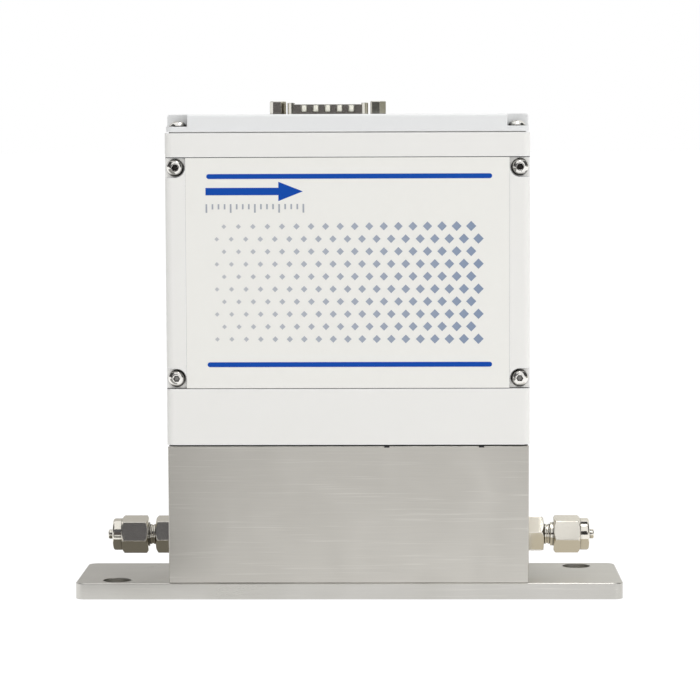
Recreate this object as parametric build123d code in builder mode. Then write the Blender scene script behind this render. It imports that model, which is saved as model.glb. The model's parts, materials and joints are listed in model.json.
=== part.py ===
"""Thermal mass flow controller: a steel flow block on a base plate, with a compression fitting at each end,
and above it a cast housing that holds the sensor, the control valve and the electronics.

Millimetres. X runs along the flow from inlet to outlet, Y runs to the back and Z up. The origin is the middle
of the base plate's underside.
"""

from build123d import *
import os

os.makedirs("parts", exist_ok=True)

# %% Driving dimensions

# clearances
slip = 0.05            # round a seated pin, screw or plug
easy = 0.2             # round a part that drops in by hand

# the whole body
body_depth = 42.5      # front to back, and flush for the plate, the block and the housing

# base plate
plate_length = 181.0
plate_thick = 5.4
plate_corner_r = 3.2
mount_inset_x = 13.4   # the two mounting holes lie on a diagonal of the plate
mount_inset_y = 6.5
mount_r = 2.75
mount_recess_r = 4.75
mount_recess_deep = 2.4
plate_screw_inset_x = 14.3
plate_screw_inset_y = 8.25

# flow block
block_length = 118.6
block_height = 45.5
block_edge = 0.3
port_rise = 13.25      # from the plate to the axis of both fittings
tapped_deep = 9.0      # depth of the screw holes in the block's roof
tip_room = 1.0         # left under a screw's tip

# tube fittings, 1/8 in
fitting_af = 11.1
fitting_edge = 0.7
fitting_hex_length = 5.8
fitting_thread_r = 3.95
fitting_thread_deep = 8.0
fitting_neck_r = 3.15
coupling_start = 8.0   # where the coupling thread begins, from the block's end
coupling_end = 15.4
fitting_bore_r = 1.2
tube_r = 1.59
tube_bore_r = 0.87
tube_socket_deep = 4.0
ferrule_mouth_r = 2.45
ferrule_mouth_deep = 1.0
ferrule_back_r = 2.95
ferrule_step = 1.0     # where the two ferrules meet, past the coupling's end
nut_length = 12.0
nut_hex_length = 8.9
nut_collar_r = 5.35
nut_collar_edge = 0.8
nut_shoulder = 2.6
inlet_nut_start = 8.4
outlet_nut_start = 9.1
stub_out = 1.7         # how far the tube stub shows past the nut
inlet_hex_turn = -10.9
inlet_nut_turn = -13.3
outlet_hex_turn = 47.4
outlet_nut_turn = 10.9
port_seal_r = 5.0
port_seal_thick = 1.15

# flow path
bypass_r = 3.45
bypass_length = 45.3
passage_r = 1.5
sensor_x = -30.0
sensor_port_gap = 24.0
sensor_port_r = 1.0
element_length = 16.0
element_hole_r = 0.45
filter_thick = 2.0
filter_x = -50.0

# housing
housing_width = 119.3
housing_corner_r = 2.4
housing_seal_thick = 0.4
housing_seal_inset = 0.9
seal_tabs_x = (12.7, 43.8)
seal_tab_width = 1.6
seal_tab_deep = 1.5    # how far a tab's foot reaches back from the front
seal_tab_drop = 0.55   # how far a tab hangs in its notch in the block's front edge
low_strip_height = 18.5
cover_span = 75.9
top_strip_height = 7.85
side_wall = 2.5
strip_wall = 3.0
strip_post = 9.65      # solid corner beside the hollow of each strip
cover_thick = 3.0
cover_joint = 0.22     # open joint above and below a cover
cover_seal_thick = 0.5
cover_lip = 3.0
screw_inset_x = 3.37   # from the housing's side to a cover screw
screw_inset_z = 3.4    # from a cover's seam to its screw
pocket_r = 3.28
pocket_deep = 1.6
window_inset = 7.65
window_margin = 7.0
boss_deep = 6.0
foot_width = 7.0
foot_thick = 3.0
frame_screw_inset = 3.5
frame_screw_inset_y = 5.75  # from the hollow's front or back to a frame screw

# top lid
lid_width = 118.4
lid_height = 5.7
lid_seal_thick = 0.35
lid_wall = 2.1
lid_pocket_deep = 3.95
lid_corner_r = 2.2
lid_edge_r = 0.9
lid_screw_inset_x = 3.8
lid_screw_inset_y = 3.6
lid_rim_x = 7.7
lid_rim_y = 3.75

# screws: shank radius, head radius, head height, socket across flats, socket depth
m3_r = 1.45
m3_button_r = 2.85
m3_button_height = 1.65
m3_button_rim = 0.3
m3_button_flat = 1.35
m3_socket_af = 2.0
m3_socket_deep = 1.05
m3_cap_r = 2.75
m3_cap_height = 3.0
m3_cap_socket_af = 2.5
m3_pan_height = 1.9
screw_hole_r = 1.7
cover_screw_length = 8.0
lid_screw_length = 7.0
m4_r = 1.95
m4_head_r = 3.5
m4_head_height = 2.8
m4_socket_af = 3.0
plate_screw_length = 10.0

# label, its heights measured from the cover's middle
label_thick = 0.2
print_thick = 0.05
stripe_half = 46.6
stripe_x = 0.6
stripe_thick = 1.6
stripe_top_z = 31.65
stripe_low_z = -29.95
arrow_x = -30.4
arrow_z = 26.75
arrow_length = 31.8
arrow_height = 6.3
arrow_shaft = 2.4
arrow_head = 8.0
tick_z = 21.25
tick_height = 2.8
tick_short = 1.7
tick_width = 0.55
tick_count = 17
tick_step = 1.98
field_z = -3.15
field_columns = 19
field_rows = 10
field_step_x = 4.75
field_step_z = 4.1
diamond_small = 1.5
diamond_large = 3.4

# connector, 15 contacts
connector_x = -6.75
shell_width = 27.8
shell_depth = 9.2
shell_slant = 10.0
shell_corner_r = 2.6
shell_wall = 0.55
shell_height = 5.9
shell_step = 0.5
shell_step_half = 11.2
flange_width = 39.2
flange_depth = 12.5
flange_thick = 0.8
flange_corner_r = 1.0
dimple_count = 5
dimple_step = 3.92
dimple_width = 2.0
dimple_height = 2.4
dimple_deep = 0.25
dimple_corner_r = 0.6
jackscrew_gap = 33.32
jackscrew_af = 4.75
jackscrew_turns = (-5.0, -18.0)
jackscrew_edge = 0.25
jackscrew_height = 4.35
jackscrew_shank_r = 1.4
jackscrew_thread_r = 1.2
jackscrew_thread_deep = 4.0
jackscrew_nut_af = 6.35
jackscrew_nut_thick = 2.3
pin_r = 0.5
pin_step = 2.76
pin_row_gap = 2.84
pin_below_rim = 1.2
pin_tail = 1.2         # how far a pin comes out under its board
connector_drop = 11.5  # from the lid's ceiling down to the top board's underside
insulator_rise = 1.4
insulator_drop = 6.2
insulator_depth = 8.0
insulator_width = 24.8

# sensor
sensor_base_length = 36.0
sensor_base_depth = 16.0
sensor_base_height = 8.0
sensor_screw_x = 15.4
sensor_screw_y = 5.0
sensor_seal_r = 2.6
sensor_seal_thick = 1.0
sensor_tube_r = 0.5
sensor_tube_bore_r = 0.25
sensor_tube_rise = 15.0
sensor_tube_seat = 3.0
sensor_corner_r = 1.5
sensor_bend_r = 4.0
winding_length = 6.0
winding_gap = 1.6
winding_r = 1.3
sensor_cover_length = 28.5
sensor_cover_depth = 9.0
sensor_cover_height = 21.0
sensor_cover_wall = 1.0

# control valve
valve_x = 30.0
valve_cavity_r = 8.0
valve_cavity_deep = 12.9
valve_riser_offset = 5.5
valve_riser_r = 1.2
valve_clear = 0.7      # between the valve's foot and the upright bracket
valve_flange_thick = 5.0
valve_flange_corner_r = 2.0
valve_spigot = 6.0
valve_screw_inset = 2.9
valve_tube_r = 6.0
valve_shoulder_r = 7.4
plunger_r = 4.6
plunger_gap = 0.2
plunger_length = 29.0
plunger_travel = 0.5
plunger_edge = 0.3
seat_r = 3.0
seat_deep = 4.0
seat_rise = 1.5
seat_lip_r = 1.2
seat_taper = 12.0
orifice_r = 0.6
disc_r = 2.8
disc_thick = 1.8
disc_sunk = 1.0
spring_pocket_r = 2.7
spring_pocket_deep = 8.0
spring_wire_r = 0.3
spring_coil_r = 2.1
spring_turns = 6
pole_cap_thick = 1.2
yoke_clear = 1.2       # between the yoke and the upright bracket
yoke_sides = 6.0       # how much wider the yoke is than deep
yoke_wall = 1.5
coil_length = 27.0
coil_cheek = 1.4
coil_cheek_inset = 0.6 # from the yoke's face to the coil's cheeks
coil_core_wall = 0.9
coil_cheek_lip = 0.8   # how far the cheeks stand out past the winding
locknut_af = 17.0
locknut_thick = 3.0
valve_seal_width = 1.6
valve_seal_thick = 1.35

# electronics
bracket_clear = 0.35   # between the upright bracket and the back cover's seat
bracket_thick = 1.2
bracket_foot_x = 4.0
bracket_foot_half = 10.0
bracket_foot_deep = 9.0
bracket_screw_gap = 11.0
standoff_length = 5.0
standoff_r = 2.5
board_thick = 1.6
board_below_seam = 4.7
board_height = 44.0
board_half = 44.0
board_hole_inset = 4.0
link_x = -6.0
link_half = 10.0
link_depth = 4.0
link_overlap = 6.0
top_board_half_x = 30.0
top_board_clear = 1.75 # from the top board's edge to the line of the hollow
lead_r = 0.6
lead_gap = 3.0
lead_out = 3.0         # how far the leads stand in front of the yoke
lead_start_rise = 19.4 # from the coil's foot
lead_end_rise = 9.0    # from the board's lower edge
lead_first_bend = 2.6
lead_last_bend = 7.5

# parts on the main board: x and z from its middle, width, height and thickness
chips = [
    (-24.0, 4.0, 12.0, 12.0, 1.6),
    (-6.0, -6.0, 9.0, 6.0, 1.4),
    (8.0, 3.0, 7.0, 7.0, 1.4),
    (-22.0, -13.0, 14.0, 5.0, 1.2),
    (20.0, -14.0, 8.0, 6.0, 2.4),
]
capacitor_places = [(22.0, 4.0), (31.0, 4.0)]
capacitor_r = 3.4
capacitor_height = 7.5
capacitor_edge = 0.5

# %% Places that follow from those sizes

block_end = block_length / 2
block_top = plate_thick + block_height
port_z = plate_thick + port_rise
mount_x = plate_length / 2 - mount_inset_x
mount_y = body_depth / 2 - mount_inset_y
frame_z0 = block_top + housing_seal_thick
cover_z0 = frame_z0 + low_strip_height
cover_z1 = cover_z0 + cover_span
frame_top = cover_z1 + top_strip_height
frame_height = frame_top - frame_z0
lid_z0 = frame_top + lid_seal_thick
lid_top = lid_z0 + lid_height
lid_floor_z = lid_top - lid_pocket_deep
lid_ceiling_z = lid_top - lid_wall
half_width = housing_width / 2
half_depth = body_depth / 2
cover_mid_z = (cover_z0 + cover_z1) / 2
cover_height = cover_z1 - cover_z0 - 2 * cover_joint
cover_screw_x = half_width - screw_inset_x
cover_screw_z = (cover_z1 - cover_z0) / 2 - screw_inset_z
cover_seat_deep = cover_thick + cover_seal_thick
cavity_half_y = half_depth - cover_seat_deep - cover_lip
window_half = half_width - window_inset
strip_pocket_half = half_width - strip_post
lid_screw_x = lid_width / 2 - lid_screw_inset_x
lid_screw_y = half_depth - lid_screw_inset_y
lid_hollow_x = lid_width / 2 - lid_rim_x
lid_hollow_y = half_depth - lid_rim_y
window_height = cover_z1 - cover_z0 - 2 * window_margin
foot_edge = half_width - side_wall - foot_width
frame_screw_x = foot_edge + frame_screw_inset
bracket_back_y = cavity_half_y - bracket_clear
bracket_y = bracket_back_y - bracket_thick
board_front_y = bracket_y - standoff_length - board_thick
frame_screw_y = cavity_half_y - frame_screw_inset_y
top_board_half_y = cavity_half_y - top_board_clear
valve_flange = 2 * (bracket_y - valve_clear)
valve_screw_half = valve_flange / 2 - valve_screw_inset
yoke_depth = 2 * (bracket_y - yoke_clear)
yoke_width = yoke_depth + yoke_sides
coil_cheek_r = yoke_depth / 2 - coil_cheek_inset
winding_outer_r = coil_cheek_r - coil_cheek_lip
lead_out_y = -yoke_depth / 2 - lead_out
board_z1 = cover_z1 - board_below_seam
board_z0 = board_z1 - board_height
board_mid_z = (board_z0 + board_z1) / 2
board_hole_x = board_half - board_hole_inset
board_hole_z = board_height / 2 - board_hole_inset
top_board_z = lid_ceiling_z - connector_drop
valve_cavity_floor = block_top - valve_cavity_deep
flange_top_z = block_top + valve_flange_thick
yoke_z0 = flange_top_z + m3_cap_height + easy
yoke_height = coil_length + 2 * yoke_wall
valve_tube_top = yoke_z0 + yoke_height + locknut_thick
valve_bore_r = plunger_r + plunger_gap
seat_top = valve_cavity_floor + seat_rise
plunger_z0 = seat_top + disc_thick - disc_sunk
plunger_top = plunger_z0 + plunger_length
pole_z0 = plunger_top + plunger_travel
spring_z0 = plunger_top - spring_pocket_deep

front_face = Plane(origin=(0, -half_depth, cover_mid_z), x_dir=(1, 0, 0), z_dir=(0, -1, 0))
back_face = Plane(origin=(0, half_depth, cover_mid_z), x_dir=(-1, 0, 0), z_dir=(0, 1, 0))
inlet_face = Plane(origin=(-block_end, 0, port_z), x_dir=(0, 1, 0), z_dir=(-1, 0, 0))
outlet_face = Plane(origin=(block_end, 0, port_z), x_dir=(0, 1, 0), z_dir=(1, 0, 0))
block_roof = Plane.XY.offset(block_top)
lid_base = Plane.XY.offset(lid_z0)
board_face = Plane(origin=(0, board_front_y, board_mid_z), x_dir=(1, 0, 0), z_dir=(0, -1, 0))

four_signs = [(side, end) for side in (-1, 1) for end in (-1, 1)]


def corners(half_x, half_y):
    """The four corner points of a rectangle round the origin."""
    return [(side * half_x, end * half_y) for side, end in four_signs]


def plane_points(plane, points, depth=0.0):
    """Copies of a plane moved to points of its own, and sunk by depth along its normal."""
    shifted = plane.offset(-depth)
    return [Plane(shifted.from_local_coords((x, y, 0)), shifted.x_dir, shifted.z_dir) for x, y in points]


def span_rectangle(x0, x1, y0, y1):
    """A rectangle between two opposite corners, drawn in the sketch that is open."""
    with Locations(((x0 + x1) / 2, (y0 + y1) / 2)):
        Rectangle(abs(x1 - x0), abs(y1 - y0))


# %% Shapes that repeat


def button_screw(length):
    """A button-head screw with a hexagon socket, head up, with its seat at z = 0."""
    with BuildPart() as screw:
        with BuildSketch(Plane.XZ):
            with BuildLine():
                Polyline((0, -length), (m3_r, -length), (m3_r, 0), (m3_button_r, 0), (m3_button_r, m3_button_rim))
                ThreePointArc(
                    (m3_button_r, m3_button_rim),
                    (m3_button_r * 0.8, m3_button_height * 0.68),
                    (m3_button_flat, m3_button_height),
                )
                Polyline((m3_button_flat, m3_button_height), (0, m3_button_height), (0, -length))
            make_face()
        revolve(axis=Axis.Z)
        with BuildSketch(Plane.XY.offset(m3_button_height)):
            RegularPolygon(m3_socket_af / 2, 6, major_radius=False)
        extrude(amount=-m3_socket_deep, mode=Mode.SUBTRACT)
    return screw.part


def cap_screw(shank_r, length, head_r, head_height, socket_af):
    """A socket-head cap screw, head up, with its seat at z = 0."""
    with BuildPart() as screw:
        with BuildSketch():
            Circle(head_r)
        extrude(amount=head_height)
        chamfer(screw.edges().group_by(Axis.Z)[-1], head_height * 0.1)
        with BuildSketch():
            Circle(shank_r)
        extrude(amount=-length)
        with BuildSketch(Plane.XY.offset(head_height)):
            RegularPolygon(socket_af / 2, 6, major_radius=False)
        extrude(amount=-head_height * 0.55, mode=Mode.SUBTRACT)
    return screw.part


def pan_screw(length):
    """A small pan-head screw for a circuit board, with a cross cut in its head."""
    with BuildPart() as screw:
        with BuildSketch():
            Circle(m3_cap_r)
        extrude(amount=m3_pan_height)
        fillet(screw.edges().group_by(Axis.Z)[-1], m3_pan_height * 0.45)
        with BuildSketch():
            Circle(m3_r)
        extrude(amount=-length)
        with BuildSketch(Plane.XY.offset(m3_pan_height)):
            Rectangle(m3_cap_r * 1.1, m3_cap_r * 0.24)
            Rectangle(m3_cap_r * 0.24, m3_cap_r * 1.1)
        extrude(amount=-m3_pan_height * 0.5, mode=Mode.SUBTRACT)
    return screw.part


def hex_blank(across_flats, z0, z1, turn, ends):
    """A hexagon bar from z0 to z1, its corners turned off by a cone at each end named in ends."""
    corner_r = across_flats / 3 ** 0.5
    flat_r = across_flats / 2 - slip
    start_r = flat_r if "low" in ends else corner_r
    stop_r = flat_r if "high" in ends else corner_r
    with BuildPart() as blank:
        with BuildSketch(Plane.XY.offset(z0)):
            RegularPolygon(across_flats / 2, 6, major_radius=False, rotation=turn)
        extrude(amount=z1 - z0)
        with BuildSketch(Plane.XZ):
            Polygon(
                (0, z0),
                (start_r, z0),
                (corner_r, z0 + fitting_edge),
                (corner_r, z1 - fitting_edge),
                (stop_r, z1),
                (0, z1),
                align=None,
            )
        revolve(axis=Axis.Z, mode=Mode.INTERSECT)
    return blank.part


def ring(outer_r, inner_r, thick):
    """A moulded seal ring with rounded edges, lying on z = 0."""
    with BuildPart() as seal:
        with BuildSketch():
            Circle(outer_r)
            Circle(inner_r, mode=Mode.SUBTRACT)
        extrude(amount=thick)
        fillet(seal.edges(), min(thick, outer_r - inner_r) * 0.3)
    return seal.part


# %% Base plate: the flat bar that carries the instrument, with two counterbored mounting holes

plate_holes = [(-mount_x, -mount_y), (mount_x, mount_y)]
plate_screw_places = corners(block_end - plate_screw_inset_x, body_depth / 2 - plate_screw_inset_y)
plate_screw_sunk = m4_head_height + easy

with BuildPart() as base_plate:
    with BuildSketch():
        RectangleRounded(plate_length, body_depth, plate_corner_r)
    extrude(amount=plate_thick)
    chamfer(base_plate.edges().group_by(Axis.Z)[-1], block_edge)
    with Locations(*[(x, y, plate_thick) for x, y in plate_holes]):
        CounterBoreHole(mount_r, mount_recess_r, mount_recess_deep)
    with BuildSketch():
        with Locations(*plate_screw_places):
            Circle(m4_head_r + easy)
    extrude(amount=plate_screw_sunk, mode=Mode.SUBTRACT)
    with BuildSketch():
        with Locations(*plate_screw_places):
            Circle(m4_r + easy)
    extrude(amount=plate_thick, mode=Mode.SUBTRACT)

base_plate.part.label = "base_plate"
export_step(base_plate.part, "parts/base_plate.step")

# The screws that hold the plate to the block stand head down in the plate.
plate_underside = Plane(origin=(0, 0, plate_screw_sunk), x_dir=(1, 0, 0), z_dir=(0, 0, -1))

with BuildPart() as plate_screws:
    with Locations(*plane_points(plate_underside, plate_screw_places)):
        add(cap_screw(m4_r, plate_screw_length, m4_head_r, m4_head_height, m4_socket_af))

plate_screws.part.label = "plate_screws"
export_step(plate_screws.part, "parts/plate_screws.step")

# %% Flow block: one bar of stainless steel with the whole gas path drilled in it

bypass_end_x = bypass_length - block_end
riser_x = valve_x - valve_riser_offset
sensor_ports = [(sensor_x + end * sensor_port_gap / 2, 0) for end in (-1, 1)]
sensor_screw_places = [(sensor_x + x, y) for x, y in corners(sensor_screw_x, sensor_screw_y)]
valve_screw_places = [(valve_x + x, y) for x, y in corners(valve_screw_half, valve_screw_half)]
frame_screw_places = corners(frame_screw_x, frame_screw_y)
bracket_screw_y = bracket_y - bracket_foot_deep / 2
bracket_screw_places = [(bracket_foot_x + side * bracket_screw_gap / 2, bracket_screw_y) for side in (-1, 1)]
tapped_places = sensor_screw_places + valve_screw_places + frame_screw_places + bracket_screw_places
port_seal_sunk = port_seal_thick + slip

with BuildPart() as flow_block:
    with BuildSketch(Plane.XY.offset(plate_thick)):
        Rectangle(block_length, body_depth)
    extrude(amount=block_height)
    chamfer(flow_block.edges(), block_edge)
    with BuildSketch(block_roof):
        for tab_x in seal_tabs_x:
            notch_half = seal_tab_width / 2 + slip
            notch_back_y = seal_tab_deep + slip - body_depth / 2
            span_rectangle(tab_x - notch_half, tab_x + notch_half, -body_depth / 2, notch_back_y)
    extrude(amount=-seal_tab_drop, mode=Mode.SUBTRACT)
    with BuildSketch(inlet_face):
        Circle(bypass_r + slip)
    extrude(amount=-bypass_length, mode=Mode.SUBTRACT)
    for face in (inlet_face, outlet_face):
        with BuildSketch(face):
            Circle(fitting_thread_r + slip)
        extrude(amount=-fitting_thread_deep - easy, mode=Mode.SUBTRACT)
        with BuildSketch(face):
            Circle(port_seal_r + slip)
        extrude(amount=-port_seal_sunk, mode=Mode.SUBTRACT)
    with BuildSketch(inlet_face.offset(-bypass_length)):
        Circle(passage_r)
    extrude(amount=bypass_end_x - riser_x, mode=Mode.SUBTRACT)
    with BuildSketch(outlet_face):
        Circle(passage_r)
    extrude(amount=valve_x - block_end, mode=Mode.SUBTRACT)
    with BuildSketch(block_roof):
        with Locations(*sensor_ports):
            Circle(sensor_port_r)
    extrude(amount=port_z - block_top, mode=Mode.SUBTRACT)
    with BuildSketch(block_roof):
        with Locations((valve_x, 0)):
            Circle(valve_cavity_r)
    extrude(amount=valve_cavity_floor - block_top, mode=Mode.SUBTRACT)
    with BuildSketch(block_roof):
        with Locations((valve_x, 0)):
            Circle(valve_cavity_r + valve_seal_width + slip)
    extrude(amount=-valve_seal_thick, mode=Mode.SUBTRACT)
    with BuildSketch(block_roof):
        with Locations((riser_x, 0)):
            Circle(valve_riser_r)
        with Locations((valve_x, 0)):
            Circle(passage_r)
    extrude(amount=port_z - block_top, mode=Mode.SUBTRACT)
    with BuildSketch(Plane.XY.offset(valve_cavity_floor)):
        with Locations((valve_x, 0)):
            Circle(seat_r + slip)
    extrude(amount=-seat_deep, mode=Mode.SUBTRACT)
    with BuildSketch(block_roof):
        with Locations(*tapped_places):
            Circle(m3_r + slip)
    extrude(amount=-tapped_deep, mode=Mode.SUBTRACT)
    with BuildSketch(Plane.XY.offset(plate_thick)):
        with Locations(*plate_screw_places):
            Circle(m4_r + slip)
    extrude(amount=plate_screw_length, mode=Mode.SUBTRACT)

flow_block.part.label = "flow_block"
export_step(flow_block.part, "parts/flow_block.step")

with BuildPart() as inlet_filter:
    with BuildSketch(Plane(origin=(filter_x, 0, port_z), z_dir=(1, 0, 0))):
        Circle(bypass_r)
    extrude(amount=filter_thick / 2, both=True)

inlet_filter.part.label = "inlet_filter"
export_step(inlet_filter.part, "parts/inlet_filter.step")

# The laminar flow element is a plug with rings of fine straight channels.
element_ring_step = (bypass_r - element_hole_r) / 3

with BuildPart() as laminar_flow_element:
    with BuildSketch(Plane(origin=(sensor_x, 0, port_z), z_dir=(1, 0, 0))):
        Circle(bypass_r)
        Circle(element_hole_r, mode=Mode.SUBTRACT)
        for ring_number in (1, 2):
            with PolarLocations(ring_number * element_ring_step, 6 * ring_number):
                Circle(element_hole_r, mode=Mode.SUBTRACT)
    extrude(amount=element_length / 2, both=True)

laminar_flow_element.part.label = "laminar_flow_element"
export_step(laminar_flow_element.part, "parts/laminar_flow_element.step")

# %% Tube fittings: a body screwed into the block, two ferrules, a nut and a short tube stub

socket_z = coupling_end - tube_socket_deep
front_ferrule_z0 = coupling_end - ferrule_mouth_deep
ferrule_joint_z = coupling_end + ferrule_step
back_ferrule_end = inlet_nut_start + nut_length - nut_shoulder


def fitting_body(turn):
    """The fitting's body, standing on the block's face at z = 0 with its port thread below."""
    with BuildPart() as body:
        add(hex_blank(fitting_af, 0, fitting_hex_length, turn, "high"))
        with BuildSketch():
            Circle(fitting_thread_r)
        extrude(amount=-fitting_thread_deep)
        with BuildSketch():
            Circle(fitting_neck_r)
        extrude(amount=coupling_end)
        with BuildSketch(Plane.XY.offset(coupling_start)):
            Circle(fitting_thread_r)
        extrude(amount=coupling_end - coupling_start)
        with BuildSketch(Plane.XY.offset(-fitting_thread_deep)):
            Circle(fitting_bore_r)
        extrude(amount=fitting_thread_deep + coupling_end, mode=Mode.SUBTRACT)
        with BuildSketch(Plane.XY.offset(socket_z)):
            Circle(tube_r + slip)
        extrude(amount=tube_socket_deep, mode=Mode.SUBTRACT)
        with BuildSketch(Plane.XZ):
            Polygon(
                (0, coupling_end),
                (ferrule_mouth_r, coupling_end),
                (tube_r, front_ferrule_z0),
                (0, front_ferrule_z0),
                align=None,
            )
        revolve(axis=Axis.Z, mode=Mode.SUBTRACT)
    return body.part


def fitting_nut(start, turn):
    """The coupling nut, from its open end at start to the rounded collar."""
    stop = start + nut_length
    with BuildPart() as nut:
        add(hex_blank(fitting_af, start, start + nut_hex_length, turn, "low high"))
        with BuildSketch(Plane.XY.offset(start)):
            Circle(nut_collar_r)
        extrude(amount=nut_length)
        fillet(nut.edges().group_by(Axis.Z)[-1], nut_collar_edge)
        with BuildSketch(Plane.XY.offset(start)):
            Circle(fitting_thread_r + slip)
        extrude(amount=nut_length - nut_shoulder, mode=Mode.SUBTRACT)
        with BuildSketch(Plane.XY.offset(stop)):
            Circle(tube_r + slip)
        extrude(amount=-nut_shoulder, mode=Mode.SUBTRACT)
    return nut.part


def ferrules():
    """The front ferrule with its long cone and the back ferrule behind it, as two solids."""
    with BuildPart() as pair:
        with BuildSketch(Plane.XZ):
            Polygon(
                (tube_r + slip, front_ferrule_z0 + slip),
                (ferrule_mouth_r, coupling_end + slip),
                (ferrule_back_r, ferrule_joint_z),
                (tube_r + slip, ferrule_joint_z),
                align=None,
            )
        revolve(axis=Axis.Z)
        with BuildSketch(Plane.XZ):
            Polygon(
                (tube_r + slip, ferrule_joint_z + slip),
                (ferrule_mouth_r, ferrule_joint_z + slip),
                (ferrule_back_r, back_ferrule_end),
                (tube_r + slip, back_ferrule_end),
                align=None,
            )
        revolve(axis=Axis.Z)
    return pair.part


def tube_stub(nut_start):
    """The short piece of tube held in the fitting, with a softened end."""
    with BuildPart() as stub:
        with BuildSketch(Plane.XY.offset(socket_z)):
            Circle(tube_r)
        extrude(amount=nut_start + nut_length + stub_out - socket_z)
        fillet(stub.edges().group_by(Axis.Z)[-1], tube_r * 0.3)
        with BuildSketch(Plane.XY.offset(socket_z)):
            Circle(tube_bore_r)
        extrude(amount=nut_start + nut_length + stub_out - socket_z, mode=Mode.SUBTRACT)
    return stub.part


with BuildPart() as inlet_fitting:
    with Locations(inlet_face):
        add(fitting_body(inlet_hex_turn))

inlet_fitting.part.label = "inlet_fitting"
export_step(inlet_fitting.part, "parts/inlet_fitting.step")

with BuildPart() as outlet_fitting:
    with Locations(outlet_face):
        add(fitting_body(outlet_hex_turn))

outlet_fitting.part.label = "outlet_fitting"
export_step(outlet_fitting.part, "parts/outlet_fitting.step")

with BuildPart() as inlet_nut:
    with Locations(inlet_face):
        add(fitting_nut(inlet_nut_start, inlet_nut_turn))

inlet_nut.part.label = "inlet_nut"
export_step(inlet_nut.part, "parts/inlet_nut.step")

with BuildPart() as outlet_nut:
    with Locations(outlet_face):
        add(fitting_nut(outlet_nut_start, outlet_nut_turn))

outlet_nut.part.label = "outlet_nut"
export_step(outlet_nut.part, "parts/outlet_nut.step")

# The ferrules of both fittings share one node, and so do the two tube stubs.
with BuildPart() as tube_ferrules:
    with Locations(inlet_face, outlet_face):
        add(ferrules())

tube_ferrules.part.label = "tube_ferrules"
export_step(tube_ferrules.part, "parts/tube_ferrules.step")

with BuildPart() as tube_stubs:
    with Locations(inlet_face):
        add(tube_stub(inlet_nut_start))
    with Locations(outlet_face):
        add(tube_stub(outlet_nut_start))

tube_stubs.part.label = "tube_stubs"
export_step(tube_stubs.part, "parts/tube_stubs.step")

with BuildPart() as port_seals:
    with Locations(inlet_face.offset(-port_seal_thick), outlet_face.offset(-port_seal_thick)):
        add(ring(port_seal_r, fitting_thread_r + slip, port_seal_thick))

port_seals.part.label = "port_seals"
export_step(port_seals.part, "parts/port_seals.step")

# %% Housing: a cast frame, closed by a cover at the front and back and a lid on top

with BuildPart() as housing_seal:
    with BuildSketch(block_roof):
        Rectangle(block_length - 2 * housing_seal_inset, body_depth - 2 * housing_seal_inset)
        Rectangle(2 * foot_edge, 2 * cavity_half_y, mode=Mode.SUBTRACT)
        with Locations(*frame_screw_places):
            Circle(screw_hole_r, mode=Mode.SUBTRACT)
        # two small tabs reach the front edge and hang in notches there, so that the seal can't creep
        for tab_x in seal_tabs_x:
            span_rectangle(tab_x - seal_tab_width / 2, tab_x + seal_tab_width / 2, -body_depth / 2, -cavity_half_y)
    extrude(amount=housing_seal_thick)
    with BuildSketch(block_roof):
        for tab_x in seal_tabs_x:
            tab_half = seal_tab_width / 2
            span_rectangle(tab_x - tab_half, tab_x + tab_half, -body_depth / 2, seal_tab_deep - body_depth / 2)
    extrude(amount=-seal_tab_drop)

housing_seal.part.label = "housing_seal"
export_step(housing_seal.part, "parts/housing_seal.step")


def draw_corner_pockets(screw_x, screw_y, half_x, half_y):
    """Four U-shaped pockets round the screws, each open to the two edges beside it."""
    for side, end in four_signs:
        inner_x = side * (screw_x - pocket_r)
        inner_y = end * (screw_y - pocket_r)
        with Locations((side * screw_x, end * screw_y)):
            Circle(pocket_r)
        span_rectangle(inner_x, side * half_x, end * screw_y, end * half_y)
        span_rectangle(side * screw_x, side * half_x, inner_y, end * screw_y)


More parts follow.
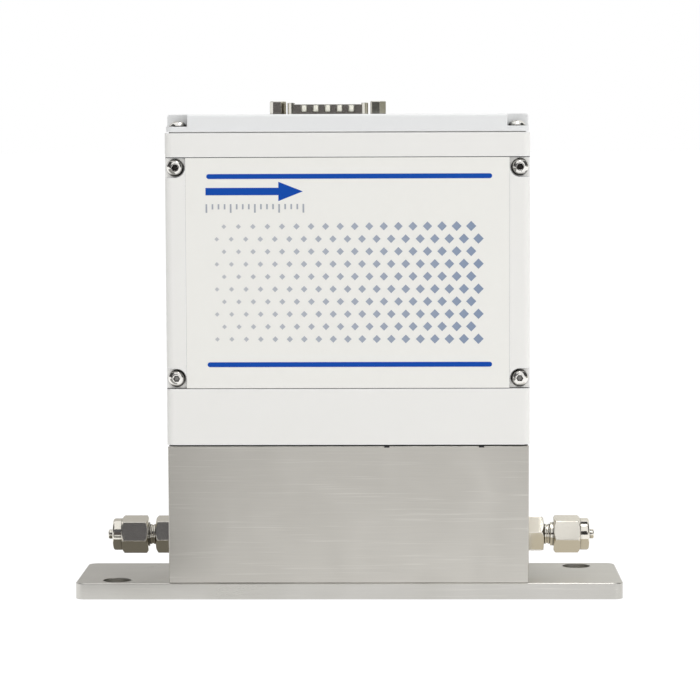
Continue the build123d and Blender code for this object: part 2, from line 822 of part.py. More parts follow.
with BuildPart() as housing_frame:
    with BuildSketch(Plane.XY.offset(frame_z0)):
        RectangleRounded(housing_width, body_depth, housing_corner_r)
    extrude(amount=frame_height)
    for face in (front_face, back_face):
        with BuildSketch(face):
            Rectangle(housing_width, cover_z1 - cover_z0)
        extrude(amount=-cover_seat_deep, mode=Mode.SUBTRACT)
        with BuildSketch(face):
            Rectangle(2 * window_half, window_height)
        extrude(amount=-half_depth, mode=Mode.SUBTRACT)
    with BuildSketch(Plane.XY.offset(frame_z0)):
        Rectangle(housing_width - 2 * side_wall, 2 * cavity_half_y)
    extrude(amount=frame_height, mode=Mode.SUBTRACT)
    for strip_z0, strip_z1 in ((frame_z0, cover_z0 - strip_wall), (cover_z1 + strip_wall, frame_top)):
        with BuildSketch(Plane.XY.offset(strip_z0)):
            Rectangle(2 * strip_pocket_half, body_depth - 2 * strip_wall)
        extrude(amount=strip_z1 - strip_z0, mode=Mode.SUBTRACT)
    # feet along both sides take the screws into the block
    with BuildSketch(Plane.XY.offset(frame_z0)):
        for side in (-1, 1):
            wall_x = side * (half_width - side_wall / 2)
            span_rectangle(side * foot_edge, wall_x, -cavity_half_y, cavity_half_y)
    extrude(amount=foot_thick)
    with BuildSketch(Plane.XY.offset(frame_z0)):
        with Locations(*frame_screw_places):
            Circle(screw_hole_r)
    extrude(amount=foot_thick, mode=Mode.SUBTRACT)
    # bosses behind each cover seat take the cover screws
    for face in (front_face, back_face):
        with BuildSketch(face.offset(-cover_seat_deep)):
            for side, end in four_signs:
                with Locations((side * cover_screw_x, end * cover_screw_z)):
                    Circle(half_width - cover_screw_x)
        extrude(amount=-cover_lip - boss_deep)
        with BuildSketch(face.offset(-cover_seat_deep)):
            with Locations(*corners(cover_screw_x, cover_screw_z)):
                Circle(m3_r + slip)
        extrude(amount=-cover_lip - boss_deep, mode=Mode.SUBTRACT)
    with BuildSketch(Plane.XY.offset(frame_top)):
        with Locations(*corners(lid_screw_x, lid_screw_y)):
            Circle(m3_r + slip)
    extrude(amount=-lid_screw_length, mode=Mode.SUBTRACT)

housing_frame.part.label = "housing_frame"
export_step(housing_frame.part, "parts/housing_frame.step")

with BuildPart() as frame_screws:
    with Locations(*plane_points(Plane.XY.offset(frame_z0 + foot_thick), frame_screw_places)):
        add(cap_screw(m3_r, foot_thick + tapped_deep - tip_room, m3_cap_r, m3_cap_height, m3_cap_socket_af))

frame_screws.part.label = "frame_screws"
export_step(frame_screws.part, "parts/frame_screws.step")


def cover_panel(face):
    """A flat cover with rounded front corners and a screw pocket at each corner."""
    with BuildPart() as panel:
        with BuildSketch(face):
            Rectangle(housing_width, cover_height)
        extrude(amount=-cover_thick)
        front_edges = panel.faces().sort_by_distance(face.origin)[0].edges()
        fillet(front_edges.filter_by(Axis.Z), housing_corner_r)
        with BuildSketch(face):
            draw_corner_pockets(cover_screw_x, cover_screw_z, half_width, cover_height / 2)
        extrude(amount=-pocket_deep, mode=Mode.SUBTRACT)
        with BuildSketch(face):
            with Locations(*corners(cover_screw_x, cover_screw_z)):
                Circle(screw_hole_r)
        extrude(amount=-cover_thick, mode=Mode.SUBTRACT)
    return panel.part


label_half = cover_screw_x - pocket_r - slip

with BuildPart() as front_cover:
    add(cover_panel(front_face))
    with BuildSketch(front_face):
        Rectangle(2 * label_half, cover_height)
    extrude(amount=-label_thick, mode=Mode.SUBTRACT)

front_cover.part.label = "front_cover"
export_step(front_cover.part, "parts/front_cover.step")

with BuildPart() as back_cover:
    add(cover_panel(back_face))

back_cover.part.label = "back_cover"
export_step(back_cover.part, "parts/back_cover.step")


def cover_gasket(face):
    """The flat gasket between a cover and the frame."""
    with BuildPart() as gasket:
        with BuildSketch(face.offset(-cover_thick)):
            Rectangle(housing_width - 2 * housing_seal_inset, cover_height - 2 * housing_seal_inset)
            Rectangle(2 * window_half, window_height, mode=Mode.SUBTRACT)
            with Locations(*corners(cover_screw_x, cover_screw_z)):
                Circle(screw_hole_r, mode=Mode.SUBTRACT)
        extrude(amount=-cover_seal_thick)
    return gasket.part


with BuildPart() as cover_gaskets:
    add(cover_gasket(front_face))
    add(cover_gasket(back_face))

cover_gaskets.part.label = "cover_gaskets"
export_step(cover_gaskets.part, "parts/cover_gaskets.step")

cover_screw_places = corners(cover_screw_x, cover_screw_z)

with BuildPart() as cover_screws:
    for face in (front_face, back_face):
        with Locations(*plane_points(face, cover_screw_places, pocket_deep)):
            add(button_screw(cover_screw_length))

cover_screws.part.label = "cover_screws"
export_step(cover_screws.part, "parts/cover_screws.step")

# %% Top lid: a hollow lid with corner pockets and the cut-out for the connector

jackscrew_places = [(connector_x + side * jackscrew_gap / 2, 0) for side in (-1, 1)]

with BuildPart() as top_lid:
    with BuildSketch(lid_base):
        RectangleRounded(lid_width, body_depth, lid_corner_r)
    extrude(amount=lid_top - lid_z0)
    fillet(top_lid.edges().group_by(Axis.Z)[-1], lid_edge_r)
    with BuildSketch(lid_base):
        RectangleRounded(2 * lid_hollow_x, 2 * lid_hollow_y, lid_corner_r)
    extrude(amount=lid_ceiling_z - lid_z0, mode=Mode.SUBTRACT)
    with BuildSketch(Plane.XY.offset(lid_top)):
        draw_corner_pockets(lid_screw_x, lid_screw_y, half_width, half_depth)
    extrude(amount=-lid_pocket_deep, mode=Mode.SUBTRACT)
    with BuildSketch(Plane.XY.offset(lid_top)):
        with Locations(*corners(lid_screw_x, lid_screw_y)):
            Circle(screw_hole_r)
        with Locations(*jackscrew_places):
            Circle(jackscrew_shank_r + easy)
        with Locations((connector_x, 0)):
            RectangleRounded(shell_width + 2 * easy, shell_depth + 2 * easy, shell_corner_r)
    extrude(amount=lid_z0 - lid_top, mode=Mode.SUBTRACT)

top_lid.part.label = "top_lid"
export_step(top_lid.part, "parts/top_lid.step")

with BuildPart() as lid_gasket:
    with BuildSketch(Plane.XY.offset(frame_top)):
        gasket_depth = body_depth - 2 * housing_seal_inset
        RectangleRounded(lid_width - 2 * housing_seal_inset, gasket_depth, lid_corner_r)
        Rectangle(2 * lid_hollow_x, 2 * lid_hollow_y, mode=Mode.SUBTRACT)
        with Locations(*corners(lid_screw_x, lid_screw_y)):
            Circle(screw_hole_r, mode=Mode.SUBTRACT)
    extrude(amount=lid_seal_thick)

lid_gasket.part.label = "lid_gasket"
export_step(lid_gasket.part, "parts/lid_gasket.step")

with BuildPart() as lid_screws:
    with Locations(*plane_points(Plane.XY.offset(lid_floor_z), corners(lid_screw_x, lid_screw_y))):
        add(button_screw(lid_screw_length))

lid_screws.part.label = "lid_screws"
export_step(lid_screws.part, "parts/lid_screws.step")

# %% Front label: a film in a shallow recess, with its print as thin raised fields

with BuildPart() as front_label:
    with BuildSketch(front_face):
        Rectangle(2 * (label_half - slip), cover_height)
    extrude(amount=-label_thick)

front_label.part.label = "front_label"
export_step(front_label.part, "parts/front_label.step")

# Blue print: two stripes with round ends, and an arrow along the flow in the upper left corner.
arrow_tail_x = arrow_x - arrow_length / 2
arrow_neck_x = arrow_x + arrow_length / 2 - arrow_head

with BuildPart() as label_blue_print:
    with BuildSketch(front_face):
        with Locations((stripe_x, stripe_top_z), (stripe_x, stripe_low_z)):
            SlotOverall(2 * stripe_half, stripe_thick)
        span_rectangle(arrow_tail_x, arrow_neck_x, arrow_z - arrow_shaft / 2, arrow_z + arrow_shaft / 2)
        with BuildLine():
            Polyline(
                (arrow_neck_x, arrow_z - arrow_height / 2),
                (arrow_neck_x + arrow_head, arrow_z),
                (arrow_neck_x, arrow_z + arrow_height / 2),
                close=True,
            )
        make_face()
    extrude(amount=print_thick)

label_blue_print.part.label = "label_blue_print"
export_step(label_blue_print.part, "parts/label_blue_print.step")

with BuildPart() as label_ticks:
    with BuildSketch(front_face):
        for tick_number in range(tick_count):
            tick_x = arrow_tail_x + tick_width / 2 + tick_number * tick_step
            height = tick_short if tick_number % 4 else tick_height
            tick_top = tick_z + tick_height / 2
            span_rectangle(tick_x - tick_width / 2, tick_x + tick_width / 2, tick_top - height, tick_top)
    extrude(amount=print_thick)

label_ticks.part.label = "label_ticks"
export_step(label_ticks.part, "parts/label_ticks.step")


def diamond_size(column):
    """Diamonds grow along the flow, from the field's left end to its right end."""
    return diamond_small + (diamond_large - diamond_small) * column / (field_columns - 1)


# Rows are staggered by half a step, and every second row is one diamond shorter.
with BuildPart() as label_pattern:
    with BuildSketch(front_face):
        for row in range(field_rows):
            shift = 0.5 * (row % 2)
            for column in range(field_columns - row % 2):
                place_x = (column + shift - (field_columns - 1) / 2) * field_step_x
                place_z = field_z + (row - (field_rows - 1) / 2) * field_step_z
                with Locations((place_x, place_z)):
                    RegularPolygon(diamond_size(column + shift) / 2, 4)
    extrude(amount=print_thick)

label_pattern.part.label = "label_pattern"
export_step(label_pattern.part, "parts/label_pattern.step")

# %% Connector: a 15-pin plug under the lid, held by two jackscrews

flange_top = lid_ceiling_z
shell_top = flange_top + shell_height
pin_places = []
for row_pins, row_y in ((8, -pin_row_gap / 2), (7, pin_row_gap / 2)):
    pin_places += [((index - (row_pins - 1) / 2) * pin_step, row_y) for index in range(row_pins)]
connector_flange_plane = Plane(origin=(connector_x, 0, flange_top), x_dir=(1, 0, 0), z_dir=(0, 0, 1))


def shell_solid(inset, bottom, top):
    """A prism of the D outline, its wide side to the front, with rounded upright edges."""
    with BuildPart() as prism:
        with BuildSketch(connector_flange_plane.offset(bottom)):
            Trapezoid(shell_width - 2 * inset, shell_depth - 2 * inset, 90 - shell_slant)
        extrude(amount=top - bottom)
        fillet(prism.edges().filter_by(Axis.Z), shell_corner_r - inset)
    return prism.part


dimple_face = Plane(
    origin=(connector_x, -shell_depth / 2, lid_top + shell_height / 3),
    x_dir=(1, 0, 0),
    z_dir=(0, -1, 0),
)

with BuildPart() as connector_shell:
    with BuildSketch(connector_flange_plane):
        RectangleRounded(flange_width, flange_depth, flange_corner_r)
    extrude(amount=-flange_thick)
    add(shell_solid(0, 0, shell_height))
    add(shell_solid(shell_wall, -flange_thick, shell_height), mode=Mode.SUBTRACT)
    with BuildSketch(connector_flange_plane):
        with Locations(*[(side * jackscrew_gap / 2, 0) for side in (-1, 1)]):
            Circle(jackscrew_shank_r + slip)
    extrude(amount=-flange_thick, mode=Mode.SUBTRACT)
    with BuildSketch(dimple_face):
        with GridLocations(dimple_step, 0, dimple_count, 1):
            RectangleRounded(dimple_width, dimple_height, dimple_corner_r)
    extrude(amount=-dimple_deep, mode=Mode.SUBTRACT)
    # the rim is lower along its middle, in front and behind, between two raised ends
    with BuildSketch(connector_flange_plane.offset(shell_height)):
        Rectangle(2 * shell_step_half, 2 * shell_depth)
    extrude(amount=-shell_step, mode=Mode.SUBTRACT)

connector_shell.part.label = "connector_shell"
export_step(connector_shell.part, "parts/connector_shell.step")

with BuildPart() as connector_body:
    add(shell_solid(shell_wall + slip, -flange_thick, insulator_rise))
    with BuildSketch(connector_flange_plane.offset(-flange_thick)):
        Rectangle(insulator_width, insulator_depth)
    extrude(amount=-insulator_drop)
    with BuildSketch(connector_flange_plane.offset(insulator_rise)):
        with Locations(*pin_places):
            Circle(pin_r + slip)
    extrude(amount=-insulator_rise - flange_thick - insulator_drop, mode=Mode.SUBTRACT)

connector_body.part.label = "connector_body"
export_step(connector_body.part, "parts/connector_body.step")

pin_low_z = top_board_z - pin_tail

with BuildPart() as connector_pins:
    with BuildSketch(connector_flange_plane.offset(shell_height - pin_below_rim)):
        with Locations(*pin_places):
            Circle(pin_r)
    extrude(amount=pin_low_z - shell_top + pin_below_rim)
    chamfer(connector_pins.edges().group_by(Axis.Z)[-1], pin_r * 0.5)

connector_pins.part.label = "connector_pins"
export_step(connector_pins.part, "parts/connector_pins.step")

jackscrew_nut_z = flange_top - flange_thick - jackscrew_nut_thick

with BuildPart() as jackscrews:
    with BuildSketch(Plane.XY.offset(lid_top)):
        for place, turn in zip(jackscrew_places, jackscrew_turns):
            with Locations(place):
                RegularPolygon(jackscrew_af / 2, 6, major_radius=False, rotation=turn)
    extrude(amount=jackscrew_height)
    chamfer(jackscrews.edges().group_by(Axis.Z)[-1], jackscrew_edge)
    with BuildSketch(Plane.XY.offset(lid_top)):
        with Locations(*jackscrew_places):
            Circle(jackscrew_shank_r)
    extrude(amount=jackscrew_nut_z - tip_room - lid_top)
    with BuildSketch(Plane.XY.offset(lid_top + jackscrew_height)):
        with Locations(*jackscrew_places):
            Circle(jackscrew_thread_r)
    extrude(amount=-jackscrew_thread_deep, mode=Mode.SUBTRACT)

jackscrews.part.label = "jackscrews"
export_step(jackscrews.part, "parts/jackscrews.step")

with BuildPart() as jackscrew_nuts:
    with BuildSketch(Plane.XY.offset(jackscrew_nut_z)):
        with Locations(*jackscrew_places):
            RegularPolygon(jackscrew_nut_af / 2, 6, major_radius=False)
            Circle(jackscrew_shank_r + slip, mode=Mode.SUBTRACT)
    extrude(amount=jackscrew_nut_thick)

jackscrew_nuts.part.label = "jackscrew_nuts"
export_step(jackscrew_nuts.part, "parts/jackscrew_nuts.step")

with BuildPart() as connector_board:
    with BuildSketch(Plane.XY.offset(top_board_z)):
        with Locations((connector_x, 0)):
            Rectangle(2 * top_board_half_x, 2 * top_board_half_y)
            with Locations(*pin_places):
                Circle(pin_r + slip, mode=Mode.SUBTRACT)
    extrude(amount=board_thick)

connector_board.part.label = "connector_board"
export_step(connector_board.part, "parts/connector_board.step")

# %% Sensor: a capillary tube with two windings, on a base screwed to the block, under a can

sensor_base_top = block_top + sensor_base_height
tube_foot_z = sensor_base_top - sensor_tube_seat
tube_top_z = sensor_base_top + sensor_tube_rise

with BuildPart() as sensor_base:
    with BuildSketch(block_roof):
        with Locations((sensor_x, 0)):
            RectangleRounded(sensor_base_length, sensor_base_depth, sensor_corner_r)
    extrude(amount=sensor_base_height)
    with BuildSketch(block_roof):
        with Locations(*sensor_ports):
            Circle(sensor_seal_r + slip)
    extrude(amount=sensor_seal_thick, mode=Mode.SUBTRACT)
    with BuildSketch(block_roof):
        with Locations(*sensor_ports):
            Circle(sensor_tube_r + slip)
        with Locations(*sensor_screw_places):
            Circle(screw_hole_r)
    extrude(amount=sensor_base_height, mode=Mode.SUBTRACT)

sensor_base.part.label = "sensor_base"
export_step(sensor_base.part, "parts/sensor_base.step")

with BuildPart() as sensor_seals:
    with Locations(*plane_points(block_roof, sensor_ports)):
        add(ring(sensor_seal_r, sensor_port_r, sensor_seal_thick))

sensor_seals.part.label = "sensor_seals"
export_step(sensor_seals.part, "parts/sensor_seals.step")

with BuildPart() as sensor_screws:
    with Locations(*plane_points(Plane.XY.offset(sensor_base_top), sensor_screw_places)):
        add(cap_screw(m3_r, sensor_base_height + tapped_deep - tip_room, m3_cap_r, m3_cap_height, m3_cap_socket_af))

sensor_screws.part.label = "sensor_screws"
export_step(sensor_screws.part, "parts/sensor_screws.step")

left_leg_x = sensor_ports[0][0]
right_leg_x = sensor_ports[1][0]

with BuildPart() as sensor_tube:
    with BuildLine() as tube_path:
        FilletPolyline(
            (left_leg_x, 0, tube_foot_z),
            (left_leg_x, 0, tube_top_z),
            (right_leg_x, 0, tube_top_z),
            (right_leg_x, 0, tube_foot_z),
            radius=sensor_bend_r,
        )
    with BuildSketch(Plane.XY.offset(tube_foot_z)):
        with Locations((left_leg_x, 0)):
            Circle(sensor_tube_r)
            Circle(sensor_tube_bore_r, mode=Mode.SUBTRACT)
    sweep(path=tube_path.line)

sensor_tube.part.label = "sensor_tube"
export_step(sensor_tube.part, "parts/sensor_tube.step")

with BuildPart() as sensor_windings:
    for side in (-1, 1):
        winding_x = sensor_x + side * (winding_length + winding_gap) / 2
        with BuildSketch(Plane(origin=(winding_x, 0, tube_top_z), z_dir=(1, 0, 0))):
            Circle(winding_r)
            Circle(sensor_tube_r + slip, mode=Mode.SUBTRACT)
        extrude(amount=winding_length / 2, both=True)

sensor_windings.part.label = "sensor_windings"
export_step(sensor_windings.part, "parts/sensor_windings.step")

with BuildPart() as sensor_can:
    with BuildSketch(Plane.XY.offset(sensor_base_top)):
        with Locations((sensor_x, 0)):
            RectangleRounded(sensor_cover_length, sensor_cover_depth, sensor_corner_r)
    extrude(amount=sensor_cover_height)
    with BuildSketch(Plane.XY.offset(sensor_base_top)):
        with Locations((sensor_x, 0)):
            Rectangle(sensor_cover_length - 2 * sensor_cover_wall, sensor_cover_depth - 2 * sensor_cover_wall)
    extrude(amount=sensor_cover_height - sensor_cover_wall, mode=Mode.SUBTRACT)
    with BuildSketch(Plane.XY.offset(sensor_base_top)):
        with Locations(*sensor_screw_places):
            Circle(m3_cap_r + easy)
    extrude(amount=m3_cap_height + easy, mode=Mode.SUBTRACT)

sensor_can.part.label = "sensor_can"
export_step(sensor_can.part, "parts/sensor_can.step")

# %% Control valve: a normally closed solenoid valve standing on the block

valve_plane = Plane(origin=(valve_x, 0, 0), x_dir=(1, 0, 0), z_dir=(0, 0, 1))

with BuildPart() as valve_seat:
    with BuildSketch(valve_plane.offset(valve_cavity_floor - seat_deep)):
        Circle(seat_r)
    extrude(amount=seat_deep)
    with BuildSketch(valve_plane.offset(valve_cavity_floor)):
        Circle(seat_lip_r)
    extrude(amount=seat_rise, taper=seat_taper)
    with BuildSketch(valve_plane.offset(valve_cavity_floor - seat_deep)):
        Circle(orifice_r)
    extrude(amount=seat_deep + seat_rise, mode=Mode.SUBTRACT)

valve_seat.part.label = "valve_seat"
export_step(valve_seat.part, "parts/valve_seat.step")

with BuildPart() as valve_disc:
    with BuildSketch(valve_plane.offset(seat_top)):
        Circle(disc_r)
    extrude(amount=disc_thick)

valve_disc.part.label = "valve_disc"
export_step(valve_disc.part, "parts/valve_disc.step")

with BuildPart() as valve_plunger:
    with BuildSketch(valve_plane.offset(plunger_z0)):
        Circle(plunger_r)
    extrude(amount=plunger_length)
    with BuildSketch(valve_plane.offset(plunger_z0)):
        Circle(disc_r + slip)
    extrude(amount=disc_sunk, mode=Mode.SUBTRACT)
    with BuildSketch(valve_plane.offset(plunger_top)):
        Circle(spring_pocket_r)
    extrude(amount=-spring_pocket_deep, mode=Mode.SUBTRACT)
    chamfer(valve_plunger.edges().group_by(Axis.Z)[-1], plunger_edge)

valve_plunger.part.label = "valve_plunger"
export_step(valve_plunger.part, "parts/valve_plunger.step")

spring_length = pole_z0 - spring_z0 - 2 * spring_wire_r

with BuildPart() as valve_spring:
    with BuildLine(valve_plane.offset(spring_z0 + spring_wire_r)) as spring_path:
        Helix(pitch=spring_length / spring_turns, height=spring_length, radius=spring_coil_r)
    with BuildSketch(Plane(origin=spring_path.line @ 0, z_dir=spring_path.line % 0)):
        Circle(spring_wire_r)
    sweep(path=spring_path.line, is_frenet=True)

valve_spring.part.label = "valve_spring"
export_step(valve_spring.part, "parts/valve_spring.step")

with BuildPart() as valve_bonnet:
    with BuildSketch(valve_plane.offset(block_top)):
        RectangleRounded(valve_flange, valve_flange, valve_flange_corner_r)
    extrude(amount=valve_flange_thick)
    with BuildSketch(valve_plane.offset(block_top)):
        Circle(valve_cavity_r - slip)
    extrude(amount=-valve_spigot)
    with BuildSketch(valve_plane.offset(block_top)):
        Circle(valve_shoulder_r)
    extrude(amount=yoke_z0 - block_top)
    with BuildSketch(valve_plane.offset(block_top)):
        Circle(valve_tube_r)
    extrude(amount=valve_tube_top - block_top)
    with BuildSketch(valve_plane.offset(block_top - valve_spigot)):
        Circle(valve_bore_r)
    extrude(amount=valve_tube_top - block_top + valve_spigot, mode=Mode.SUBTRACT)
    with BuildSketch(block_roof):
        with Locations(*valve_screw_places):
            Circle(screw_hole_r)
    extrude(amount=valve_flange_thick, mode=Mode.SUBTRACT)

valve_bonnet.part.label = "valve_bonnet"
export_step(valve_bonnet.part, "parts/valve_bonnet.step")

with BuildPart() as valve_pole:
    with BuildSketch(valve_plane.offset(pole_z0)):
        Circle(valve_bore_r - slip)
    extrude(amount=valve_tube_top - pole_z0)
    with BuildSketch(valve_plane.offset(valve_tube_top)):
        Circle(valve_tube_r)
    extrude(amount=pole_cap_thick)

valve_pole.part.label = "valve_pole"
export_step(valve_pole.part, "parts/valve_pole.step")

with BuildPart() as valve_seal:
    with Locations(valve_plane.offset(block_top - valve_seal_thick)):
        add(ring(valve_cavity_r + valve_seal_width, valve_cavity_r, valve_seal_thick))

valve_seal.part.label = "valve_seal"
export_step(valve_seal.part, "parts/valve_seal.step")

with BuildPart() as valve_screws:
    with Locations(*plane_points(Plane.XY.offset(flange_top_z), valve_screw_places)):
        add(cap_screw(m3_r, valve_flange_thick + tapped_deep - tip_room, m3_cap_r, m3_cap_height, m3_cap_socket_af))

valve_screws.part.label = "valve_screws"
export_step(valve_screws.part, "parts/valve_screws.step")

coil_z0 = yoke_z0 + yoke_wall

with BuildPart() as valve_yoke:
    with BuildSketch(Plane.XZ):
        with Locations((valve_x, yoke_z0 + yoke_height / 2)):
            Rectangle(yoke_width, yoke_height)
            Rectangle(yoke_width - 2 * yoke_wall, coil_length, mode=Mode.SUBTRACT)
    extrude(amount=yoke_depth / 2, both=True)
    with BuildSketch(valve_plane.offset(yoke_z0)):
        Circle(valve_tube_r + slip)
    extrude(amount=yoke_height, mode=Mode.SUBTRACT)

valve_yoke.part.label = "valve_yoke"
export_step(valve_yoke.part, "parts/valve_yoke.step")

bobbin_r = valve_tube_r + slip + coil_core_wall

with BuildPart() as valve_bobbin:
    for cheek_z in (coil_z0, coil_z0 + coil_length - coil_cheek):
        with BuildSketch(valve_plane.offset(cheek_z)):
            Circle(coil_cheek_r)
        extrude(amount=coil_cheek)
    with BuildSketch(valve_plane.offset(coil_z0)):
        Circle(bobbin_r)
    extrude(amount=coil_length)
    with BuildSketch(valve_plane.offset(coil_z0)):
        Circle(valve_tube_r + slip)
    extrude(amount=coil_length, mode=Mode.SUBTRACT)

valve_bobbin.part.label = "valve_bobbin"
export_step(valve_bobbin.part, "parts/valve_bobbin.step")

with BuildPart() as valve_winding:
    with BuildSketch(valve_plane.offset(coil_z0 + coil_cheek)):
        Circle(winding_outer_r)
        Circle(bobbin_r, mode=Mode.SUBTRACT)
    extrude(amount=coil_length - 2 * coil_cheek)

valve_winding.part.label = "valve_winding"
export_step(valve_winding.part, "parts/valve_winding.step")

with BuildPart() as valve_locknut:
    with BuildSketch(valve_plane.offset(yoke_z0 + yoke_height)):
        RegularPolygon(locknut_af / 2, 6, major_radius=False)
        Circle(valve_tube_r + slip, mode=Mode.SUBTRACT)
    extrude(amount=locknut_thick)

valve_locknut.part.label = "valve_locknut"
export_step(valve_locknut.part, "parts/valve_locknut.step")

# Two leads run from the winding up to the main board, in front of the coil.
lead_start_y = -winding_outer_r - slip
lead_start_z = coil_z0 + lead_start_rise
lead_top_z = board_z0 + lead_end_rise

with BuildPart() as valve_leads:
    for side in (-1, 1):
        lead_x = valve_x + side * lead_gap / 2
        with BuildLine() as lead_path:
            FilletPolyline(
                (lead_x, lead_start_y, lead_start_z),
                (lead_x, lead_out_y, lead_start_z),
                (lead_x, lead_out_y, lead_top_z),
                (lead_x, board_front_y, lead_top_z),
                radius=[lead_first_bend, lead_last_bend],
            )
        with BuildSketch(Plane(origin=lead_path.line @ 0, z_dir=lead_path.line % 0)):
            Circle(lead_r)
        sweep(path=lead_path.line)

valve_leads.part.label = "valve_leads"
export_step(valve_leads.part, "parts/valve_leads.step")

# %% Electronics: an upright bracket on the block carries the main board; the top board hangs on the connector

bracket_foot_y = bracket_y - bracket_foot_deep
board_holes = corners(board_hole_x, board_hole_z)

with BuildPart() as board_bracket:
    with BuildSketch(Plane(origin=(0, bracket_y, 0), x_dir=(-1, 0, 0), z_dir=(0, 1, 0))):
        span_rectangle(-board_half, board_half, block_top, board_z1)
    extrude(amount=bracket_thick)
    with BuildSketch(block_roof):
        span_rectangle(
            bracket_foot_x - bracket_foot_half,
            bracket_foot_x + bracket_foot_half,
            bracket_foot_y,
            bracket_back_y,
        )
    extrude(amount=bracket_thick)
    with BuildSketch(block_roof):
        with Locations(*bracket_screw_places):
            Circle(screw_hole_r)
    extrude(amount=bracket_thick, mode=Mode.SUBTRACT)
    with BuildSketch(board_face.offset(board_front_y - bracket_y)):
        with Locations(*board_holes):
            Circle(m3_r + slip)
    extrude(amount=-bracket_thick, mode=Mode.SUBTRACT)

board_bracket.part.label = "board_bracket"
export_step(board_bracket.part, "parts/board_bracket.step")

with BuildPart() as bracket_screws:
    with Locations(*plane_points(Plane.XY.offset(block_top + bracket_thick), bracket_screw_places)):
        add(pan_screw(bracket_thick + tapped_deep - tip_room))

bracket_screws.part.label = "bracket_screws"
export_step(bracket_screws.part, "parts/bracket_screws.step")

with BuildPart() as board_standoffs:
    with BuildSketch(board_face.offset(-board_thick)):
        with Locations(*board_holes):
            Circle(standoff_r)
            Circle(m3_r + slip, mode=Mode.SUBTRACT)
    extrude(amount=-standoff_length)

board_standoffs.part.label = "board_standoffs"
export_step(board_standoffs.part, "parts/board_standoffs.step")

with BuildPart() as main_board:
    with BuildSketch(board_face):
        Rectangle(2 * board_half, board_z1 - board_z0)
        with Locations(*board_holes):
            Circle(m3_r + easy, mode=Mode.SUBTRACT)
    extrude(amount=-board_thick)

main_board.part.label = "main_board"
export_step(main_board.part, "parts/main_board.step")

with BuildPart() as board_screws:
    with Locations(*plane_points(board_face, board_holes)):
        add(pan_screw(board_thick + standoff_length))

board_screws.part.label = "board_screws"
export_step(board_screws.part, "parts/board_screws.step")

with BuildPart() as board_chips:
    for chip_x, chip_z, chip_width, chip_height, chip_thick in chips:
        with BuildSketch(board_face):
            with Locations((chip_x, chip_z)):
                Rectangle(chip_width, chip_height)
        extrude(amount=chip_thick)

board_chips.part.label = "board_chips"
export_step(board_chips.part, "parts/board_chips.step")

with BuildPart() as board_capacitors:
    with BuildSketch(board_face):
        with Locations(*capacitor_places):
            Circle(capacitor_r)
    extrude(amount=capacitor_height)
    fillet(board_capacitors.edges().group_by(Axis.Y)[0], capacitor_edge)

board_capacitors.part.label = "board_capacitors"
export_step(board_capacitors.part, "parts/board_capacitors.step")

with BuildPart() as board_link:
    with BuildSketch(Plane.XY.offset(board_z1 - link_overlap)):
        span_rectangle(link_x - link_half, link_x + link_half, board_front_y - link_depth, board_front_y)
    extrude(amount=top_board_z - board_z1 + link_overlap)

board_link.part.label = "board_link"
export_step(board_link.part, "parts/board_link.step")
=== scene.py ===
# %% [markdown]
# # A mass flow controller on a white studio table
#
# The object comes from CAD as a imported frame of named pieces. This file gives each piece its real surface:
# powder coat on the housing, brushed steel on the block, turned steel on the fittings, ink on the label.
# Then it adds the few small shapes that CAD left plain, a table, soft lamps and a camera.

# %% Load the frame
import json
import math

import bpy
from mathutils import Matrix, Vector


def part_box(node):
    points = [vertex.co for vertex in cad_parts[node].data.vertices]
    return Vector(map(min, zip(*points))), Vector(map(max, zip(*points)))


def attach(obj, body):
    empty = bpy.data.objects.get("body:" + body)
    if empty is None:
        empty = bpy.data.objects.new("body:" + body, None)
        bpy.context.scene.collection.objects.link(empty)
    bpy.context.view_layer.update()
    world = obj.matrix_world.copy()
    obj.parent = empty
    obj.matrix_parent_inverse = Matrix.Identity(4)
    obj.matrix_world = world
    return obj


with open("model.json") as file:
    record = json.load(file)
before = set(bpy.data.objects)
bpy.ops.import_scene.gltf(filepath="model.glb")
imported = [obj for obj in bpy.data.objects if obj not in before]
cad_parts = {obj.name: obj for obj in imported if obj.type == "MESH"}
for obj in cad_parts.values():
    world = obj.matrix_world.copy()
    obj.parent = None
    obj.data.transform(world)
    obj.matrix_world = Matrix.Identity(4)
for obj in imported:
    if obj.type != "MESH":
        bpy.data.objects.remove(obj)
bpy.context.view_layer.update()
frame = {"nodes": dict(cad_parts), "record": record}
nodes = frame["nodes"]
print("pieces from CAD:", len(nodes))

# %% [markdown]
# ## Units and colours
#
# The scene is in metres, while a maker thinks in millimetres, so one value turns one into the other.
# Colours are written as the hex codes that a paint chart gives. A renderer works with linear light, so
# one function undoes the screen's curve.

# %% Units and colours
MM = 0.001


def linear(hex_code):
    """A colour written as six hex digits, turned into linear light with full alpha."""
    channels = [int(hex_code[place : place + 2], 16) / 255 for place in (0, 2, 4)]
    return tuple(c / 12.92 if c <= 0.04045 else ((c + 0.055) / 1.055) ** 2.4 for c in channels) + (1.0,)


def per_metre(size_mm):
    """How many features of a real size in millimetres fit in a metre: the scale of a pattern."""
    return 1.0 / (size_mm * MM)


print("middle grey in linear light:", round(linear("808080")[0], 3))

# %% [markdown]
# ## One helper for every shader node
#
# A material is a small graph. Writing it out takes many lines of the same kind, so one function adds a
# node, sets its properties and values, and joins its inputs to other nodes' outputs. Most finishes start
# from the Principled shader, and a few that are plain light or paper start from an empty graph.

# %% Adding nodes
def add_node(owner, kind, values=None, links=None, **settings):
    """Adds a shader node to a material or world. values sets inputs by name, links joins them to outputs."""
    node = owner.node_tree.nodes.new("ShaderNode" + kind)
    for name, value in settings.items():
        setattr(node, name, value)
    for name, value in (values or {}).items():
        node.inputs[name].default_value = value
    for name, socket in (links or {}).items():
        owner.node_tree.links.new(socket, node.inputs[name])
    return node


